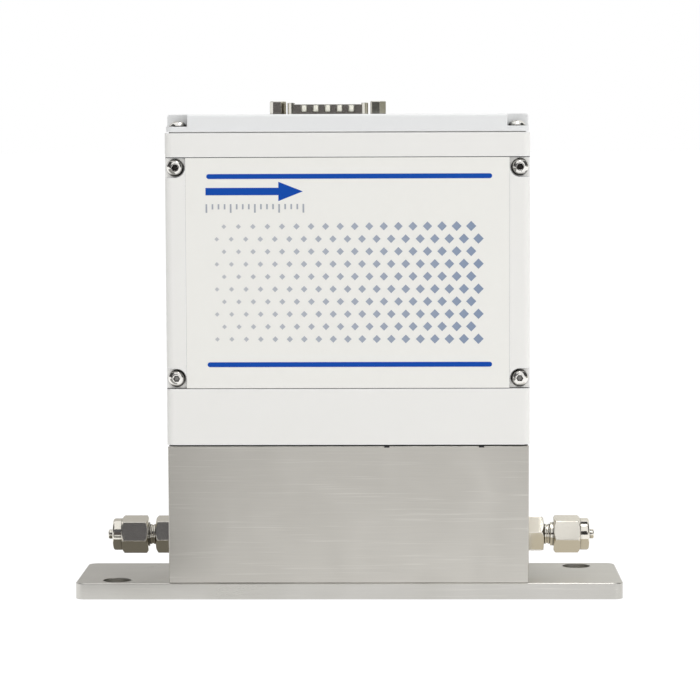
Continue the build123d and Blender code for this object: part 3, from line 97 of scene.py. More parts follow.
def new_finish(name, **values):
    """A new material with its main shader, whose fixed values are given by input name."""
    material = bpy.data.materials.new(name)
    material.use_nodes = True
    shader = material.node_tree.nodes["Principled BSDF"]
    for key, value in values.items():
        shader.inputs[key.replace("_", " ")].default_value = value
    return material, shader


def empty_finish(name):
    """A new material with an empty graph."""
    material = bpy.data.materials.new(name)
    material.use_nodes = True
    material.node_tree.nodes.clear()
    return material


def join(material, socket, shader, name):
    """Joins an output to one of the main shader's inputs."""
    material.node_tree.links.new(socket, shader.inputs[name])


print("helpers for materials ready")

# %% [markdown]
# ## Rounded edges and dark hollows
#
# Real edges are a little round, and little light gets into real seams and corners. CAD edges are perfectly
# sharp, and cutting a bevel into every mesh would touch shapes that are already right. So a Bevel node bends
# the normal near an edge, and how far the bent normal leaves the true one tells where the edge is. An
# Ambient Occlusion node tells how open a point is, and the colour is dimmed where it is closed in: this is
# painted shade, standing in for the light that doesn't get in.

# %% Edges and hollows
def edge_measure(material, edge, at_zero, at_one):
    """A value from 0 to 1, read from how well the bevelled normal agrees with the face's own (1 is fully)."""
    true_face = add_node(material, "NewGeometry")
    agreement = add_node(
        material,
        "VectorMath",
        links={0: edge.outputs["Normal"], 1: true_face.outputs["Normal"]},
        operation="DOT_PRODUCT",
    )
    limits = {"From Min": at_zero, "From Max": at_one}
    return add_node(material, "MapRange", limits, {"Value": agreement.outputs["Value"]})


def paint_shade_in_hollows(material, colour, reach_mm, limits, samples, only_local=False):
    """Paints shade into a colour in hollows. limits: how open the darkest points are, how open clear ones,
    least light.
    """
    darkest_at, clear_at, least_light = limits
    openness = add_node(
        material, "AmbientOcclusion", {"Distance": reach_mm * MM}, samples=samples, only_local=only_local
    )
    light = add_node(
        material,
        "MapRange",
        {"From Min": darkest_at, "From Max": clear_at, "To Min": least_light},
        {"Value": openness.outputs["AO"]},
    )
    return add_node(
        material,
        "Mix",
        {"Factor": 1.0},
        {"A": colour.outputs["Result"], "B": light.outputs["Result"]},
        data_type="RGBA",
        blend_type="MULTIPLY",
    )


print("edge and hollow helpers ready")

# %% [markdown]
# ## Powder coat
#
# The housing is cast aluminium with a white powder coat. Powder melts into a skin that is nearly smooth
# but keeps a faint orange peel, with swells about a millimetre wide. That softens reflections, so the coat
# looks satin. Its colour is almost even: only a trace of cloudiness keeps it from looking like plastic.
# A powder coat always rounds its edges, so they are drawn with a small bevel. The light that a rounded edge
# catches is a painted highlight: near an edge the colour turns paler, towards white. Seams between coated
# pieces read as dark lines, and that is painted shade: the colour is dimmed within a millimetre of them.

# %% Powder coat
ORANGE_PEEL_MM = 1.1
ORANGE_PEEL_DEPTH_MM = 0.05
ORANGE_PEEL_STRENGTH = 0.06
COAT_CLOUD_MM = 30.0
COAT_EDGE_MM = 0.5
COAT_HIGHLIGHT_FROM = 0.999
COAT_HIGHLIGHT_FULL = 0.95
COAT_PAINTED_SHADE = (0.2, 0.62, 0.15)


def powder_coat(name, base_hex, shade_hex, roughness, seam_shade_mm):
    """Satin powder coat over a casting, with a painted highlight on its edges and painted shade within
    seam_shade_mm of a seam.
    """
    material, shader = new_finish(name, Roughness=roughness, IOR=1.5)
    place = add_node(material, "TexCoord")
    cloud = add_node(
        material,
        "TexNoise",
        {"Scale": per_metre(COAT_CLOUD_MM), "Detail": 3.0},
        {"Vector": place.outputs["Object"]},
    )
    tint = add_node(
        material,
        "Mix",
        {"A": linear(base_hex), "B": linear(shade_hex)},
        {"Factor": cloud.outputs["Fac"]},
        data_type="RGBA",
    )
    # Painted highlight: near an edge the colour is mixed towards white, for the light a rounded edge catches.
    edge = add_node(material, "Bevel", {"Radius": COAT_EDGE_MM * MM}, samples=6)
    rim = edge_measure(material, edge, COAT_HIGHLIGHT_FROM, COAT_HIGHLIGHT_FULL)
    painted_edge_highlight = add_node(
        material,
        "Mix",
        {"B": linear("FFFFFF")},
        {"Factor": rim.outputs["Result"], "A": tint.outputs["Result"]},
        data_type="RGBA",
    )
    # Painted shade: the colour is dimmed near seams and in corners, where little light gets in.
    coat = paint_shade_in_hollows(material, painted_edge_highlight, seam_shade_mm, COAT_PAINTED_SHADE, samples=6)
    join(material, coat.outputs["Result"], shader, "Base Color")
    peel = add_node(
        material,
        "TexNoise",
        {"Scale": per_metre(ORANGE_PEEL_MM), "Detail": 2.0, "Roughness": 0.45},
        {"Vector": place.outputs["Object"]},
    )
    bump = add_node(
        material,
        "Bump",
        {"Strength": ORANGE_PEEL_STRENGTH, "Distance": ORANGE_PEEL_DEPTH_MM * MM},
        {"Height": peel.outputs["Fac"], "Normal": edge.outputs["Normal"]},
    )
    join(material, bump.outputs["Normal"], shader, "Normal")
    return material


housing_coat = powder_coat("powder_coat_white", "EFEEEB", "ECEBE7", roughness=0.42, seam_shade_mm=0.9)
lid_coat = powder_coat("powder_coat_lid", "E9EAEA", "E6E7E7", roughness=0.45, seam_shade_mm=0.3)
print("powder coats:", housing_coat.name, lid_coat.name)

# %% [markdown]
# ## Marks of a finishing belt
#
# The block and the plate are stainless bar, finished on a belt that runs along X. The belt leaves scratches
# that all run its way. Each is far finer than the render can show, so they are drawn about a quarter of a
# millimetre apart and some centimetres long: noise that is squeezed hard across the belt. A second, wider
# noise of the same kind gives the few scratches that catch more light than the rest.

# %% Belt marks
SCRATCH_MM = 0.26
SCRATCH_LENGTH_MM = 16.0
SCRATCH_DEPTH_MM = 0.02
SCRATCH_STRENGTH = 0.08
STREAK_MM = 0.7
STREAK_LENGTH_MM = 30.0


def belt_marks(material, place, width_mm, length_mm, detail):
    """Noise stretched into lines that run along X."""
    squeeze = (per_metre(length_mm), per_metre(width_mm), per_metre(width_mm))
    stretched = add_node(material, "Mapping", {"Scale": squeeze}, {"Vector": place.outputs["Object"]})
    return add_node(
        material,
        "TexNoise",
        {"Scale": 1.0, "Detail": detail, "Roughness": 0.6},
        {"Vector": stretched.outputs["Vector"]},
    )


print("belt marks:", SCRATCH_MM, "mm and", STREAK_MM, "mm wide")

# %% [markdown]
# ## Brushed and ground steel
#
# The scratches and the broad soft patches left by uneven pressure are mixed into one pattern. It moves the
# colour between two greys and changes the roughness a little, which is what makes brushed steel look like
# streaks of light. The colour is also dimmed in holes and where the block meets the plate, as painted shade.
# The plate paints shade only into its own holes, because the lamps already give the block's shadow.

# %% Brushed steel
PATCH_MM = 24.0
PATCH_SHARE = 0.78
TONE_RANGE = (0.32, 0.68)
GLOSS_RANGE = (0.3, 0.7)
GLOSS_SWING = 0.06
STREAK_RANGE = (0.60, 0.80)
STREAK_SHARE = 0.35
STREAK_HEX = "F4F2EC"
STEEL_EDGE_MM = 0.25
STEEL_SHADE_REACH_MM = 5.0
STEEL_PAINTED_SHADE = (0.25, 0.62, 0.08)


def brushed_steel(name, base_hex, dark_hex, roughness, own_hollows=False):
    """Stainless steel finished on a belt, with painted shade in its hollows. own_hollows leaves out the
    painted shade that other pieces give.
    """
    material, shader = new_finish(name, Metallic=1.0)
    place = add_node(material, "TexCoord")
    scratches = belt_marks(material, place, SCRATCH_MM, SCRATCH_LENGTH_MM, detail=3.0)
    streaks = belt_marks(material, place, STREAK_MM, STREAK_LENGTH_MM, detail=2.0)
    patches = add_node(
        material,
        "TexNoise",
        {"Scale": per_metre(PATCH_MM), "Detail": 1.5, "Distortion": 0.5},
        {"Vector": place.outputs["Object"]},
    )
    both = add_node(
        material,
        "Mix",
        {"Factor": PATCH_SHARE},
        {"A": scratches.outputs["Fac"], "B": patches.outputs["Fac"]},
        data_type="FLOAT",
    )
    contrast = add_node(
        material,
        "MapRange",
        {"From Min": TONE_RANGE[0], "From Max": TONE_RANGE[1]},
        {"Value": both.outputs["Result"]},
    )
    cloudy = add_node(
        material,
        "Mix",
        {"A": linear(dark_hex), "B": linear(base_hex)},
        {"Factor": contrast.outputs["Result"]},
        data_type="RGBA",
    )
    sparse = add_node(
        material,
        "MapRange",
        {"From Min": STREAK_RANGE[0], "From Max": STREAK_RANGE[1], "To Max": STREAK_SHARE},
        {"Value": streaks.outputs["Fac"]},
    )
    streaked = add_node(
        material,
        "Mix",
        {"B": linear(STREAK_HEX)},
        {"Factor": sparse.outputs["Result"], "A": cloudy.outputs["Result"]},
        data_type="RGBA",
    )
    # Painted shade: the colour is dimmed in holes and where the block meets the plate.
    shaded = paint_shade_in_hollows(
        material, streaked, STEEL_SHADE_REACH_MM, STEEL_PAINTED_SHADE, samples=8, only_local=own_hollows
    )
    join(material, shaded.outputs["Result"], shader, "Base Color")
    spread = {
        "From Min": GLOSS_RANGE[0],
        "From Max": GLOSS_RANGE[1],
        "To Min": roughness - GLOSS_SWING,
        "To Max": roughness + GLOSS_SWING,
    }
    gloss = add_node(material, "MapRange", spread, {"Value": both.outputs["Result"]})
    join(material, gloss.outputs["Result"], shader, "Roughness")
    edge = add_node(material, "Bevel", {"Radius": STEEL_EDGE_MM * MM}, samples=6)
    bump = add_node(
        material,
        "Bump",
        {"Strength": SCRATCH_STRENGTH, "Distance": SCRATCH_DEPTH_MM * MM},
        {"Height": scratches.outputs["Fac"], "Normal": edge.outputs["Normal"]},
    )
    join(material, bump.outputs["Normal"], shader, "Normal")
    return material


block_steel = brushed_steel("stainless_belt_brushed", "D7D4CD", "C6C3BC", roughness=0.38)
plate_steel = brushed_steel("stainless_plate_ground", "D6D4CF", "C4C2BC", roughness=0.32, own_hollows=True)
print("brushed steels:", block_steel.name, plate_steel.name)

# %% [markdown]
# ## Turned steel and plated sheet
#
# Screws, collars and necks come off a lathe, so they are bright and keep faint rings from the tool. The
# connector's shell is drawn sheet with a bright tin plate, which looks much the same. Every edge gets a
# small rounding in the shader: on real metal it catches a thin line of light. Polished metal mirrors the
# room, so its sockets and threads would look pale inside. Painted shade in the hollows keeps them dark. Real
# rings and pits are well under a tenth of a millimetre, too fine to show, so both are drawn a few times
# coarser.

# %% Bright metals
TOOL_RING_MM = 0.22
TOOL_RING_REACH_MM = 25.0
TOOL_RING_DEPTH_MM = 0.02
TOOL_RING_STRENGTH = 0.06
PIT_MM = 0.42
BRIGHT_PAINTED_SHADE = (0.42, 0.95, 0.04)


def bright_steel(name, base_hex, dark_hex, roughness, edge_mm, shade_reach_mm):
    """Machined or plated steel with faint tool rings, fine pits in its colour and painted shade in its
    hollows.
    """
    material, shader = new_finish(name, Metallic=1.0, Roughness=roughness)
    place = add_node(material, "TexCoord", name="place")
    reach = per_metre(TOOL_RING_REACH_MM)
    stretched = add_node(
        material,
        "Mapping",
        {"Scale": (per_metre(TOOL_RING_MM), reach, reach)},
        {"Vector": place.outputs["Object"]},
    )
    rings = add_node(
        material, "TexNoise", {"Scale": 1.0, "Detail": 2.0}, {"Vector": stretched.outputs["Vector"]}
    )
    pits = add_node(
        material,
        "TexNoise",
        {"Scale": per_metre(PIT_MM), "Detail": 3.0, "Roughness": 0.6},
        {"Vector": place.outputs["Object"]},
        name="pits",
    )
    tone = add_node(
        material,
        "Mix",
        {"A": linear(dark_hex), "B": linear(base_hex)},
        {"Factor": pits.outputs["Fac"]},
        data_type="RGBA",
    )
    # Painted shade: the colour is dimmed in sockets, threads and other hollows.
    shaded = paint_shade_in_hollows(material, tone, shade_reach_mm, BRIGHT_PAINTED_SHADE, samples=6)
    join(material, shaded.outputs["Result"], shader, "Base Color")
    edge = add_node(material, "Bevel", {"Radius": edge_mm * MM}, samples=8, name="edge")
    turned = add_node(
        material,
        "Bump",
        {"Strength": TOOL_RING_STRENGTH, "Distance": TOOL_RING_DEPTH_MM * MM},
        {"Height": rings.outputs["Fac"], "Normal": edge.outputs["Normal"]},
        name="turned",
    )
    join(material, turned.outputs["Normal"], shader, "Normal")
    return material


screw_steel = bright_steel("stainless_screw_polished", "F6F4F0", "E8E6E1", 0.06, edge_mm=0.12, shade_reach_mm=2.2)
connector_plate = bright_steel("steel_tin_plated", "E9E7DF", "D6D3CA", 0.12, edge_mm=0.18, shade_reach_mm=0.6)
# The dimples' tin is rubbed to a satin, and its colour is paler than the shell's as a painted highlight.
rubbed_dimple_highlight = bright_steel("steel_tin_rubbed_highlight", "FFFEF4", "F8F6E8", 0.5, edge_mm=0.2, shade_reach_mm=0.1)
print("bright metals:", screw_steel.name, connector_plate.name, rubbed_dimple_highlight.name)

# %% [markdown]
# ## Drawn flats of the tube fittings
#
# Tube fittings are machined from drawn hexagon bar. The flats keep the drawn skin, which is satin and finely
# pitted, while the collars and necks are turned bright. The flats are simply the metal that lies far from
# the ports' axis, so one finish can tell the two apart by that distance. The rounded edges stay bright,
# because handling wears them smooth.

# %% Fitting steel
PORT_Z_MM = 18.65
FLAT_FROM_MM = 5.45
FLAT_BLEND_MM = 0.05
FLAT_EDGE_AT = 0.95
FLAT_FACE_AT = 0.995
DRAWN_DULLER = 0.09
PIT_DEPTH_MM = 0.05
PIT_STRENGTHS = (0.02, 0.6)


def drawn_flats(material):
    """A value that is 1 on the hexagon's flats and 0 on turned metal and on edges."""
    parts = material.node_tree.nodes
    axes = add_node(material, "SeparateXYZ", links={"Vector": parts["place"].outputs["Object"]})
    above = add_node(material, "Math", {1: PORT_Z_MM * MM}, {0: axes.outputs["Z"]}, operation="SUBTRACT")
    across = add_node(material, "CombineXYZ", links={"Y": axes.outputs["Y"], "Z": above.outputs[0]})
    radius = add_node(material, "VectorMath", links={0: across.outputs["Vector"]}, operation="LENGTH")
    far_out = add_node(
        material,
        "MapRange",
        {"From Min": (FLAT_FROM_MM - FLAT_BLEND_MM) * MM, "From Max": (FLAT_FROM_MM + FLAT_BLEND_MM) * MM},
        {"Value": radius.outputs["Value"]},
    )
    on_face = edge_measure(material, parts["edge"], FLAT_EDGE_AT, FLAT_FACE_AT)
    drawn = add_node(
        material,
        "Math",
        links={0: far_out.outputs["Result"], 1: on_face.outputs["Result"]},
        operation="MULTIPLY",
    )
    return drawn.outputs[0]


def fitting_steel(name, base_hex, dark_hex, roughness, edge_mm, shade_reach_mm):
    """Turned steel whose flats keep a duller, pitted skin."""
    material = bright_steel(name, base_hex, dark_hex, roughness, edge_mm, shade_reach_mm)
    parts = material.node_tree.nodes
    shader = parts["Principled BSDF"]
    drawn = drawn_flats(material)
    gloss = {"To Min": roughness, "To Max": roughness + DRAWN_DULLER}
    polish = add_node(material, "MapRange", gloss, {"Value": drawn})
    join(material, polish.outputs["Result"], shader, "Roughness")
    strengths = {"To Min": PIT_STRENGTHS[0], "To Max": PIT_STRENGTHS[1]}
    strength = add_node(material, "MapRange", strengths, {"Value": drawn})
    skin = add_node(
        material,
        "Bump",
        {"Distance": PIT_DEPTH_MM * MM},
        {
            "Strength": strength.outputs["Result"],
            "Height": parts["pits"].outputs["Fac"],
            "Normal": parts["turned"].outputs["Normal"],
        },
    )
    join(material, skin.outputs["Normal"], shader, "Normal")
    return material


turned_steel = fitting_steel("stainless_turned", "F2EEE5", "E0DBCF", 0.07, edge_mm=0.45, shade_reach_mm=1.0)
print("fitting steel:", turned_steel.name)

# %% [markdown]
# ## Label film and inks
#
# The label is a polyester film with a satin top. Its ink is screen printed, so it lies as a thin even
# layer with a slightly duller surface. A trace of mottling keeps large fields of ink from looking cut out
# of coloured light. The blue ink is nearly matt, so that the room's white doesn't wash out its colour.

# %% Label and inks
PRINT_RELIEF = (0.03, 0.02)


def grained(name, base_hex, deep_hex, grain_mm, detail, relief, **values):
    """A finish whose colour and surface share one fine grain. relief: the bump's strength and depth in mm."""
    material, shader = new_finish(name, **values)
    place = add_node(material, "TexCoord")
    grain = add_node(
        material,
        "TexNoise",
        {"Scale": per_metre(grain_mm), "Detail": detail},
        {"Vector": place.outputs["Object"]},
    )
    tone = add_node(
        material,
        "Mix",
        {"A": linear(base_hex), "B": linear(deep_hex)},
        {"Factor": grain.outputs["Fac"]},
        data_type="RGBA",
    )
    join(material, tone.outputs["Result"], shader, "Base Color")
    strength, depth_mm = relief
    bump = add_node(
        material, "Bump", {"Strength": strength, "Distance": depth_mm * MM}, {"Height": grain.outputs["Fac"]}
    )
    join(material, bump.outputs["Normal"], shader, "Normal")
    return material


def printed(name, base_hex, deep_hex, roughness, grain_mm, **values):
    """Film or ink: an even colour with a fine mottle and a satin surface."""
    values.update(Roughness=roughness, IOR=1.5)
    return grained(name, base_hex, deep_hex, grain_mm, detail=3.0, relief=PRINT_RELIEF, **values)


label_film = printed("polyester_label_film", "F0EFEA", "EEEDE8", 0.38, 2.0)
blue_ink = printed("screen_ink_blue", "0D4CAD", "0A48A7", 0.45, 0.8, Specular_IOR_Level=0.12)
grey_ink = printed("screen_ink_grey", "A9ADB6", "A1A5AF", 0.5, 0.8)
print("label:", label_film.name, blue_ink.name, grey_ink.name)

# %% [markdown]
# ## The inks of the diamond field
#
# The field of diamonds fades along the flow, from pale grey at the inlet end to slate blue at the outlet
# end. The ink's colour follows the place on the label, so one material serves the whole field.

# %% Diamond ink
field_low, field_high = (Vector(corner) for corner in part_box("label_pattern"))
diamond_ink, diamond_shader = new_finish("screen_ink_slate", Roughness=0.5, IOR=1.5)
label_place = add_node(diamond_ink, "TexCoord")
label_axes = add_node(diamond_ink, "SeparateXYZ", links={"Vector": label_place.outputs["Object"]})
along_flow = add_node(
    diamond_ink,
    "MapRange",
    {"From Min": field_low.x, "From Max": field_high.x},
    {"Value": label_axes.outputs["X"]},
)
fade = add_node(
    diamond_ink,
    "Mix",
    {"A": linear("BFC0C4"), "B": linear("8494AE")},
    {"Factor": along_flow.outputs["Result"]},
    data_type="RGBA",
)
join(diamond_ink, fade.outputs["Result"], diamond_shader, "Base Color")
print("diamond field from", round(field_low.x, 4), "to", round(field_high.x, 4), "m")

# %% [markdown]
# ## Gaskets and the materials of the inside
#
# Rubber, silicone, moulded plastic, circuit board, enamelled copper and plated sheet. Only the edges of the
# gaskets show from outside. The rest is hidden, but each still has its own colour, gloss and grain, because
# a cover can be taken off.

# %% Inside materials
MOULD_RELIEF = (0.1, 0.03)


def moulded(name, base_hex, deep_hex, roughness, grain_mm, metallic=0.0):
    """A simple solid with a fine grain in its colour and its surface."""
    values = {"Roughness": roughness, "Metallic": metallic}
    return grained(name, base_hex, deep_hex, grain_mm, detail=4.0, relief=MOULD_RELIEF, **values)


seal_rubber = moulded("fluoro_rubber", "1E1E1F", "141415", 0.6, 0.5)
lid_silicone = moulded("pale_silicone", "F2F2EE", "EAEAE6", 0.6, 0.5)
cover_silicone = moulded("grey_silicone", "5A5A57", "4E4E4B", 0.6, 0.5)
black_plastic = moulded("glass_filled_nylon", "1A1A1C", "101012", 0.5, 0.4)
chip_plastic = moulded("epoxy_package", "232325", "19191B", 0.55, 0.3)
board_laminate = moulded("solder_mask_green", "1F6B3A", "185A30", 0.35, 0.9)
lead_cover = moulded("silicone_lead_red", "A8201A", "8F1813", 0.4, 0.4)
copper_wire = moulded("enamelled_copper", "A9562C", "7E3A1C", 0.3, 0.35, metallic=1.0)
contact_brass = moulded("gold_plated_brass", "D9B45E", "C49C48", 0.25, 0.5, metallic=1.0)
bracket_sheet = moulded("aluminium_sheet", "C9CACC", "B4B6B9", 0.35, 1.2, metallic=1.0)
yoke_zinc = moulded("zinc_plated_steel", "B9BBBD", "9C9EA2", 0.3, 1.0, metallic=1.0)
print("gaskets:", seal_rubber.name, lid_silicone.name, cover_silicone.name)

# %% [markdown]
# ## Dressing the CAD pieces
#
# The record names a material slot for every piece. One table joins those slots to the finishes above, so
# no piece is missed and a later change of finish is one line. Two gaskets are silicone and not the rubber
# of their slot, so a second small table names them.

# %% Dress every piece
finish_of_slot = {
    "plate_steel": plate_steel,
    "block_steel": block_steel,
    "fitting_steel": turned_steel,
    "screw_steel": screw_steel,
    "housing_paint": housing_coat,
    "lid_paint": lid_coat,
    "label_film": label_film,
    "blue_ink": blue_ink,
    "grey_ink": grey_ink,
    "slate_ink": diamond_ink,
    "connector_plate": connector_plate,
    "black_plastic": black_plastic,
    "contact_brass": contact_brass,
    "board_laminate": board_laminate,
    "chip_plastic": chip_plastic,
    "copper_wire": copper_wire,
    "lead_cover": lead_cover,
    "bracket_aluminium": bracket_sheet,
    "yoke_zinc": yoke_zinc,
    "seal_rubber": seal_rubber,
}
slot_of_node = {entry["node"]: entry["material_slot"] for entry in frame["record"]["subparts"]}
finish_of_node = {"lid_gasket": lid_silicone, "cover_gaskets": cover_silicone}
for name, piece in nodes.items():
    finish = finish_of_node.get(name, finish_of_slot[slot_of_node[name]])
    for material_slot in piece.material_slots:
        material_slot.material = finish
    if not piece.material_slots:
        piece.data.materials.append(finish)
print("dressed", len(slot_of_node), "pieces from", len(finish_of_slot), "slots")

# %% [markdown]
# ## Adding a mesh
#
# A mesh is a list of points and a list of faces that name their corners. One function makes one from points
# in millimetres. A second does what every added piece of the object needs: a finish, smooth shading and the
# body it rides on.

# %% Adding meshes
ONE_QUAD = [(0, 1, 2, 3)]


def mesh_object(name, points_mm, faces):
    """A new mesh from points in millimetres, put in the scene."""
    mesh = bpy.data.meshes.new(name)
    mesh.from_pydata([Vector(point) * MM for point in points_mm], [], faces)
    thing = bpy.data.objects.new(name, mesh)
    bpy.context.scene.collection.objects.link(thing)
    return thing


def add_piece(name, points_mm, faces, finish):
    """A mesh piece that belongs to the object and rides on the controller."""
    piece = mesh_object(name, points_mm, faces)
    piece.data.validate()
    piece.data.shade_smooth()
    piece.data.materials.append(finish)
    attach(piece, "controller")
    print("added", piece.name, "with", len(faces), "faces")


print("mesh helpers ready")

# %% [markdown]
# ## Grip dimples of the connector
#
# The connector's tin-plated shell has five small dimples pressed outwards along its front. They grip the
# mating shell and carry the shield's current. Each is a soft pillow, so it shines where the flat shell
# round it stays dark. A pillow is a grid of points whose height falls off smoothly to its rim. Its lower
# half stands out further, so that its front leans up towards the light, and its tin is rubbed to a satin.
# Its colour is paler than the shell's: a painted highlight for the shine of the pillows.

# %% Grip dimples
DIMPLE_X_MM = -6.75
DIMPLE_STEP_MM = 3.92
DIMPLE_COUNT = 5
DIMPLE_SIZE_MM = (1.96, 2.36)
DIMPLE_Z_MM = 161.57
DIMPLE_FLOOR_Y_MM = -4.36
DIMPLE_RISE_MM = 0.6
DIMPLE_LEAN = 0.7
DIMPLE_CORNER = 0.22
DIMPLE_FLATNESS = 6
DIMPLE_GRID = 18


def dimple_point(middle_x, column, row):
    """A point of one dimple: a square grid pulled in at its corners and raised in the middle."""
    u = 2 * column / DIMPLE_GRID - 1
    v = 2 * row / DIMPLE_GRID - 1
    round_u = u * math.sqrt(1 - DIMPLE_CORNER * v * v)
    round_v = v * math.sqrt(1 - DIMPLE_CORNER * u * u)
    dome = max(0.0, (1 - u**DIMPLE_FLATNESS) * (1 - v**DIMPLE_FLATNESS)) ** 0.5
    return (
        middle_x + round_u * DIMPLE_SIZE_MM[0] / 2,
        DIMPLE_FLOOR_Y_MM - DIMPLE_RISE_MM * (1 - DIMPLE_LEAN * v) * dome,
        DIMPLE_Z_MM + round_v * DIMPLE_SIZE_MM[1] / 2,
    )


points, faces = [], []
row_points = DIMPLE_GRID + 1
for number in range(DIMPLE_COUNT):
    middle_x = DIMPLE_X_MM + (number - (DIMPLE_COUNT - 1) / 2) * DIMPLE_STEP_MM
    first = len(points)
    for row in range(row_points):
        points += [dimple_point(middle_x, column, row) for column in range(row_points)]
    for row in range(DIMPLE_GRID):
        for column in range(DIMPLE_GRID):
            corner = first + row * row_points + column
            faces.append((corner, corner + 1, corner + row_points + 1, corner + row_points))
add_piece("connector_dimples", points, faces, rubbed_dimple_highlight)

# %% [markdown]
# ## Beads on the fitting necks
#
# The neck between a fitting's hexagon and its nut has two turned beads with a narrow waist between them.
# A lathe makes such a shape by following a profile while the bar spins, so the mesh does the same: a list
# of distances along the neck and radii, turned round the axis of the ports.

# %% Neck beads
NECK_RADIUS_MM = 3.15
BEAD_SINK_MM = 0.02
BEAD_RISE_MM = 0.28
BEAD_WIDTH_MM = 0.95
NECK_START_MM = 65.2
BEAD_PLACES_MM = (0.5, 1.75)
TURN_STEPS = 56
BEAD_STEPS = 10


def lathe(profile, steps):
    """Points and faces of a profile of (x, radius) pairs turned round the ports' axis."""
    turned_points = []
    for x, radius in profile:
        for step in range(steps):
            angle = 2 * math.pi * step / steps
            turned_points.append((x, radius * math.cos(angle), PORT_Z_MM + radius * math.sin(angle)))
    turned_faces = []
    for near in range(0, (len(profile) - 1) * steps, steps):
        far = near + steps
        for step in range(steps):
            after = (step + 1) % steps
            turned_faces.append((near + step, far + step, far + after, near + after))
    return turned_points, turned_faces


points, faces = [], []
for side in (-1, 1):
    for bead_place in BEAD_PLACES_MM:
        profile = []
        for step in range(BEAD_STEPS + 1):
            across = 2 * step / BEAD_STEPS - 1
            x = side * (NECK_START_MM + bead_place + across * BEAD_WIDTH_MM / 2)
            bulge = BEAD_RISE_MM * math.sqrt(1 - across * across)
            profile.append((x, NECK_RADIUS_MM - BEAD_SINK_MM + bulge))
        bead_points, bead_faces = lathe(profile, TURN_STEPS)
        faces += [tuple(len(points) + corner for corner in face) for face in bead_faces]
        points += bead_points
add_piece("neck_beads", points, faces, turned_steel)

# %% [markdown]
# ## Rays that see
#
# A renderer follows rays. Some come straight from the camera, off polished metal or through something clear,
# and show what a viewer sees. The others only carry light onto matt surfaces. The table and the room give
# each kind a different brightness, so both need to know which kind has arrived.

# %% Rays that see
def seeing_rays(owner):
    """An output that is 1 for rays from the camera, off polished metal or through clear pieces, else 0."""
    ray = add_node(owner, "LightPath")
    camera_or_mirror = add_node(
        owner,
        "Math",
        links={0: ray.outputs["Is Camera Ray"], 1: ray.outputs["Is Glossy Ray"]},
        operation="MAXIMUM",
    )
    any_seeing = add_node(
        owner,
        "Math",
        links={0: camera_or_mirror.outputs[0], 1: ray.outputs["Is Transmission Ray"]},
        operation="MAXIMUM",
    )
    return any_seeing.outputs[0]


print("ray helper ready")

# %% [markdown]
# ## Table and backdrop
#
# The table is a plain pale plane. Seen by the camera and in reflections it is almost white by itself, and
# only a share of it answers to the lamps. That keeps the object's soft contact shadow without turning the
# white background grey.

# %% Table
TABLE_HALF_MM = 15000
TABLE_GLOW = 0.84
TABLE_WHITE = 1.12

table_corners = [(x * TABLE_HALF_MM, y * TABLE_HALF_MM, 0) for x, y in ((-1, -1), (1, -1), (1, 1), (-1, 1))]
table = mesh_object("table", table_corners, ONE_QUAD)

table_finish = empty_finish("white_paper")
paper = add_node(table_finish, "BsdfDiffuse", {"Color": linear("F4F4F4")})
glow = add_node(table_finish, "Emission", {"Color": linear("FFFFFF"), "Strength": TABLE_WHITE})
share = add_node(
    table_finish, "Math", {1: TABLE_GLOW}, {0: seeing_rays(table_finish)}, operation="MULTIPLY"
)
mixed = add_node(
    table_finish, "MixShader", links={0: share.outputs[0], 1: paper.outputs[0], 2: glow.outputs[0]}
)
add_node(table_finish, "OutputMaterial", links={"Surface": mixed.outputs[0]})
table.data.materials.append(table_finish)
print("table laid,", 2 * TABLE_HALF_MM * MM, "m wide")

# %% [markdown]
# ## The room's light
#
# A white room lights the object from all sides. Rays that go to the camera, or that come off metal, see
# the room at full white. Rays that light matt surfaces see it a little dimmer, which leaves space for the
# lamps to shape the object.

# %% World
ROOM_FILL = 0.76

world = bpy.data.worlds.new("white_room")
bpy.context.scene.world = world
world.use_nodes = True
world.node_tree.nodes.clear()
brightness = add_node(world, "MapRange", {"To Min": ROOM_FILL, "To Max": 1.0}, {"Value": seeing_rays(world)})
room = add_node(world, "Background", {"Color": linear("FFFFFF")}, {"Strength": brightness.outputs["Result"]})
add_node(world, "OutputWorld", links={"Surface": room.outputs[0]})
print("room fill", ROOM_FILL)

# %% [markdown]
# ## Lamps
#
# Two soft boxes light the front, the brighter one from the right, and a third hangs above to light the lid
# and the plate. Polished metal would show them as hard white squares, so reflections don't see them.

# %% Lamps
AIM_MM = (0, 0, 85)


def soft_box(name, place_mm, side_mm, watts):
    """A square area lamp aimed at the middle of the object."""
    lamp = bpy.data.lights.new(name, "AREA")
    lamp.shape = "SQUARE"
    lamp.size = side_mm * MM
    lamp.energy = watts
    body = bpy.data.objects.new(name, lamp)
    bpy.context.scene.collection.objects.link(body)
    body.location = Vector(place_mm) * MM
    aim = Vector(AIM_MM) * MM
    body.rotation_euler = (aim - body.location).to_track_quat("-Z", "Y").to_euler()
    body.visible_glossy = False
    print(name, watts, "W")


soft_box("key_soft_box", (700, -1300, 900), side_mm=900, watts=3.0)
soft_box("fill_soft_box", (-900, -1200, 600), side_mm=900, watts=1.5)
soft_box("top_soft_box", (0, 200, 1500), side_mm=800, watts=6.3)

# %% [markdown]
# ## Flags and cards
#
# Polished metal needs something dark to reflect, or it looks like white paint, so a studio stands black
# cards, called flags, outside the picture. Here only reflections see them, and they give no shade. A card's
# colour is an amount of light, so it is given as three linear numbers, where 1 is the white of the room.
# A card that works from above only is clear from below, so it doesn't darken what lies under it.

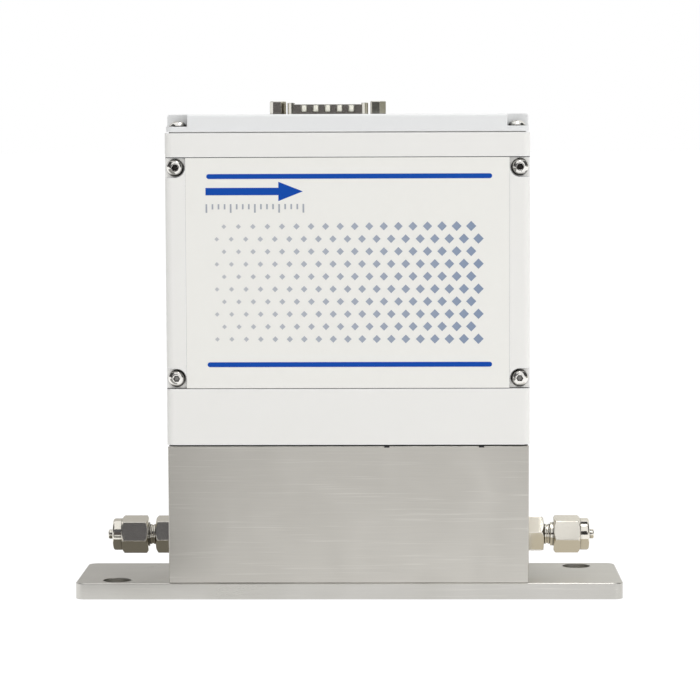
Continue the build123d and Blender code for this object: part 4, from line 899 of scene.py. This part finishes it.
# %% Making cards
def flag(name, corners_mm, faces, colour, from_above=False):
    """A plain card that only reflections see, and with from_above only from its upper side."""
    card = mesh_object(name, corners_mm, faces)
    card_finish = empty_finish(name + "_card")
    tone = add_node(card_finish, "Emission", {"Color": (*colour, 1), "Strength": 1.0})
    seen = tone
    if from_above:
        clear = add_node(card_finish, "BsdfTransparent")
        side = add_node(card_finish, "NewGeometry")
        seen = add_node(
            card_finish,
            "MixShader",
            links={0: side.outputs["Backfacing"], 1: tone.outputs[0], 2: clear.outputs[0]},
        )
    add_node(card_finish, "OutputMaterial", links={"Surface": seen.outputs[0]})
    card.data.materials.append(card_finish)
    card.visible_camera = False
    card.visible_diffuse = False
    card.visible_shadow = False
    card.visible_transmission = False
    return card


print("card helper ready")

# %% [markdown]
# ## Cards that stand round the object
#
# The large cards stand two metres away as pieces of a sphere. Each is given by its turns from straight ahead,
# to the right as positive, and by its heights, all in degrees. In front they darken what faces forward, such
# as the block, the connector's shell and the screw heads. At the sides they darken the ends of the fittings.
# Behind they are what the plate's top mirrors, so each gives a part of it its grey. Two more at the sides do
# the opposite: reflections miss them and matt paint answers to them, one dark for a shaded edge, one bright.

# %% Standing cards
CARD_REACH_MM = 2000
CARD_STEPS = 12
SIDE_CARD_REACH_MM = 1800
SIDE_CARD_RISES_DEG = (-2, 55)


def upright_flag(name, turns_deg, rises_deg, colour, reach_mm=CARD_REACH_MM):
    """A flag that stands round the object between two turns and two heights, in degrees."""
    corners = []
    for step in range(CARD_STEPS + 1):
        turn = math.radians(turns_deg[0] + (turns_deg[1] - turns_deg[0]) * step / CARD_STEPS)
        for rise in rises_deg:
            level = reach_mm * math.cos(math.radians(rise))
            height = reach_mm * math.sin(math.radians(rise))
            corners.append((level * math.sin(turn), -level * math.cos(turn), height))
    quads = [(2 * step, 2 * step + 2, 2 * step + 3, 2 * step + 1) for step in range(CARD_STEPS)]
    return flag(name, corners, quads, colour)


def side_light(name, turns_deg, grey):
    """A tall card at one side that only matt surfaces answer to: bright lights an edge, dark shades it."""
    card = upright_flag(name, turns_deg, SIDE_CARD_RISES_DEG, (grey, grey, grey), SIDE_CARD_REACH_MM)
    card.visible_diffuse = True
    card.visible_glossy = False


side_light("shade_left", (-120, -72), 0.10)
side_light("glow_right", (62, 122), 1.2)
standing_cards = {
    "flag_front_left": ((-30, 0), (1.8, 27), (0.11, 0.10, 0.10)),
    "flag_low_left": ((-60, -30), (-1, 11), (0.09, 0.09, 0.08)),
    "flag_front_right": ((0, 30), (1.8, 19), (0.11, 0.10, 0.10)),
    "flag_side_left": ((-114, -44), (10, 56), (0.06, 0.06, 0.06)),
    "flag_side_right": ((50, 114), (10, 56), (0.06, 0.06, 0.06)),
    "flag_right": ((70, 112), (-2, 9.5), (0.34, 0.33, 0.27)),
    "flag_back_left": ((180, 225), (3, 60), (0.56, 0.55, 0.53)),
    "flag_back_middle": ((176.2, 180), (3, 60), (0.16, 0.158, 0.15)),
    "flag_back_right": ((135, 176.2), (3, 60), (0.84, 0.83, 0.79)),
}
for name, (turns_deg, rises_deg, colour) in standing_cards.items():
    upright_flag(name, turns_deg, rises_deg, colour)
print("standing cards:", 2 + len(standing_cards))

# %% [markdown]
# ## Cards close to the fittings
#
# A hexagon's faces mirror different parts of the room, and a large card would reach all of them at once.
# Closer cards change a face or two: a dark one in front and above for the inlet, a bright strip high over the
# outlet with a grey card that keeps it off the fitting's body, a pair that puts dark bands on the outlet's
# collar, and one under each fitting for the faces that look down. The last lies on the table in front at the
# left, where the left half of the block mirrors the floor.

# %% Close cards
def level_card(name, x_mm, y_mm, z_mm, colour, from_above=False):
    """A card that lies level between two x and two y values."""
    (left, right), (near, far) = x_mm, y_mm
    corners = [(left, near, z_mm), (right, near, z_mm), (right, far, z_mm), (left, far, z_mm)]
    flag(name, corners, ONE_QUAD, colour, from_above)


def front_card(name, x_mm, y_mm, z_mm, colour):
    """A card that stands before the object between two x and two z values."""
    (left, right), (low, high) = x_mm, z_mm
    corners = [(left, y_mm, low), (right, y_mm, low), (right, y_mm, high), (left, y_mm, high)]
    flag(name, corners, ONE_QUAD, colour)


front_card("flag_near_inlet", (-410, -10), -420, (175, 420), (0.12, 0.12, 0.13))
level_card("card_above_outlet_body", (54, 67.5), (-27, 0), 62, (0.86, 0.84, 0.80))
level_card("strip_above_outlet", (38, 130), (-260, 160), 620, (5.0, 5.0, 4.9))
front_card("flag_collar_front", (82, 90), -100, (22, 70), (0.04, 0.04, 0.04))
level_card("flag_collar_above", (76, 112), (-17, 23), 110, (0.05, 0.05, 0.05))
level_card("card_under_inlet", (-94, -61), (-20, 6), 9, (0.16, 0.15, 0.125), from_above=True)
level_card("card_under_outlet", (61, 94), (-20, 6), 9, (0.60, 0.555, 0.46), from_above=True)
floor_corners = [(-700, -900, 0.5), (-260, -900, 0.5), (-50, -54, 0.5), (-700, -54, 0.5)]
flag("flag_floor_left", floor_corners, ONE_QUAD, (0.30, 0.30, 0.29))
print("close cards set")

# %% [markdown]
# ## The camera
#
# A long lens, a little above the block, sees the front almost straight on. The lens, place and turns are
# real values of a studio set-up: about 0.9 m away, 156 mm above the table, tipped down by under 5 degrees.

# %% Camera
LENS_MM = 142.41
SENSOR_MM = 36.0
CAMERA_MM = (18.436, -925.125, 155.728)
YAW_RAD = 0.01962
PITCH_RAD = -0.08076
ROLL_RAD = 0.00365

lens = bpy.data.cameras.new("camera")
lens.lens = LENS_MM
lens.sensor_width = SENSOR_MM
lens.sensor_fit = "HORIZONTAL"
lens.clip_start = 0.05
lens.clip_end = 60.0
camera = bpy.data.objects.new("camera", lens)
bpy.context.scene.collection.objects.link(camera)
yaw, pitch, roll = (
    Matrix.Rotation(angle, 4, axis) for angle, axis in ((YAW_RAD, "Z"), (PITCH_RAD, "X"), (ROLL_RAD, "Y"))
)
stand_up = Matrix.Rotation(math.radians(90), 4, "X")
camera.matrix_world = Matrix.Translation(Vector(CAMERA_MM) * MM) @ yaw @ pitch @ roll @ stand_up
bpy.context.scene.camera = camera
bpy.context.scene.view_settings.view_transform = "Standard"
print("camera", [round(v, 3) for v in camera.location])
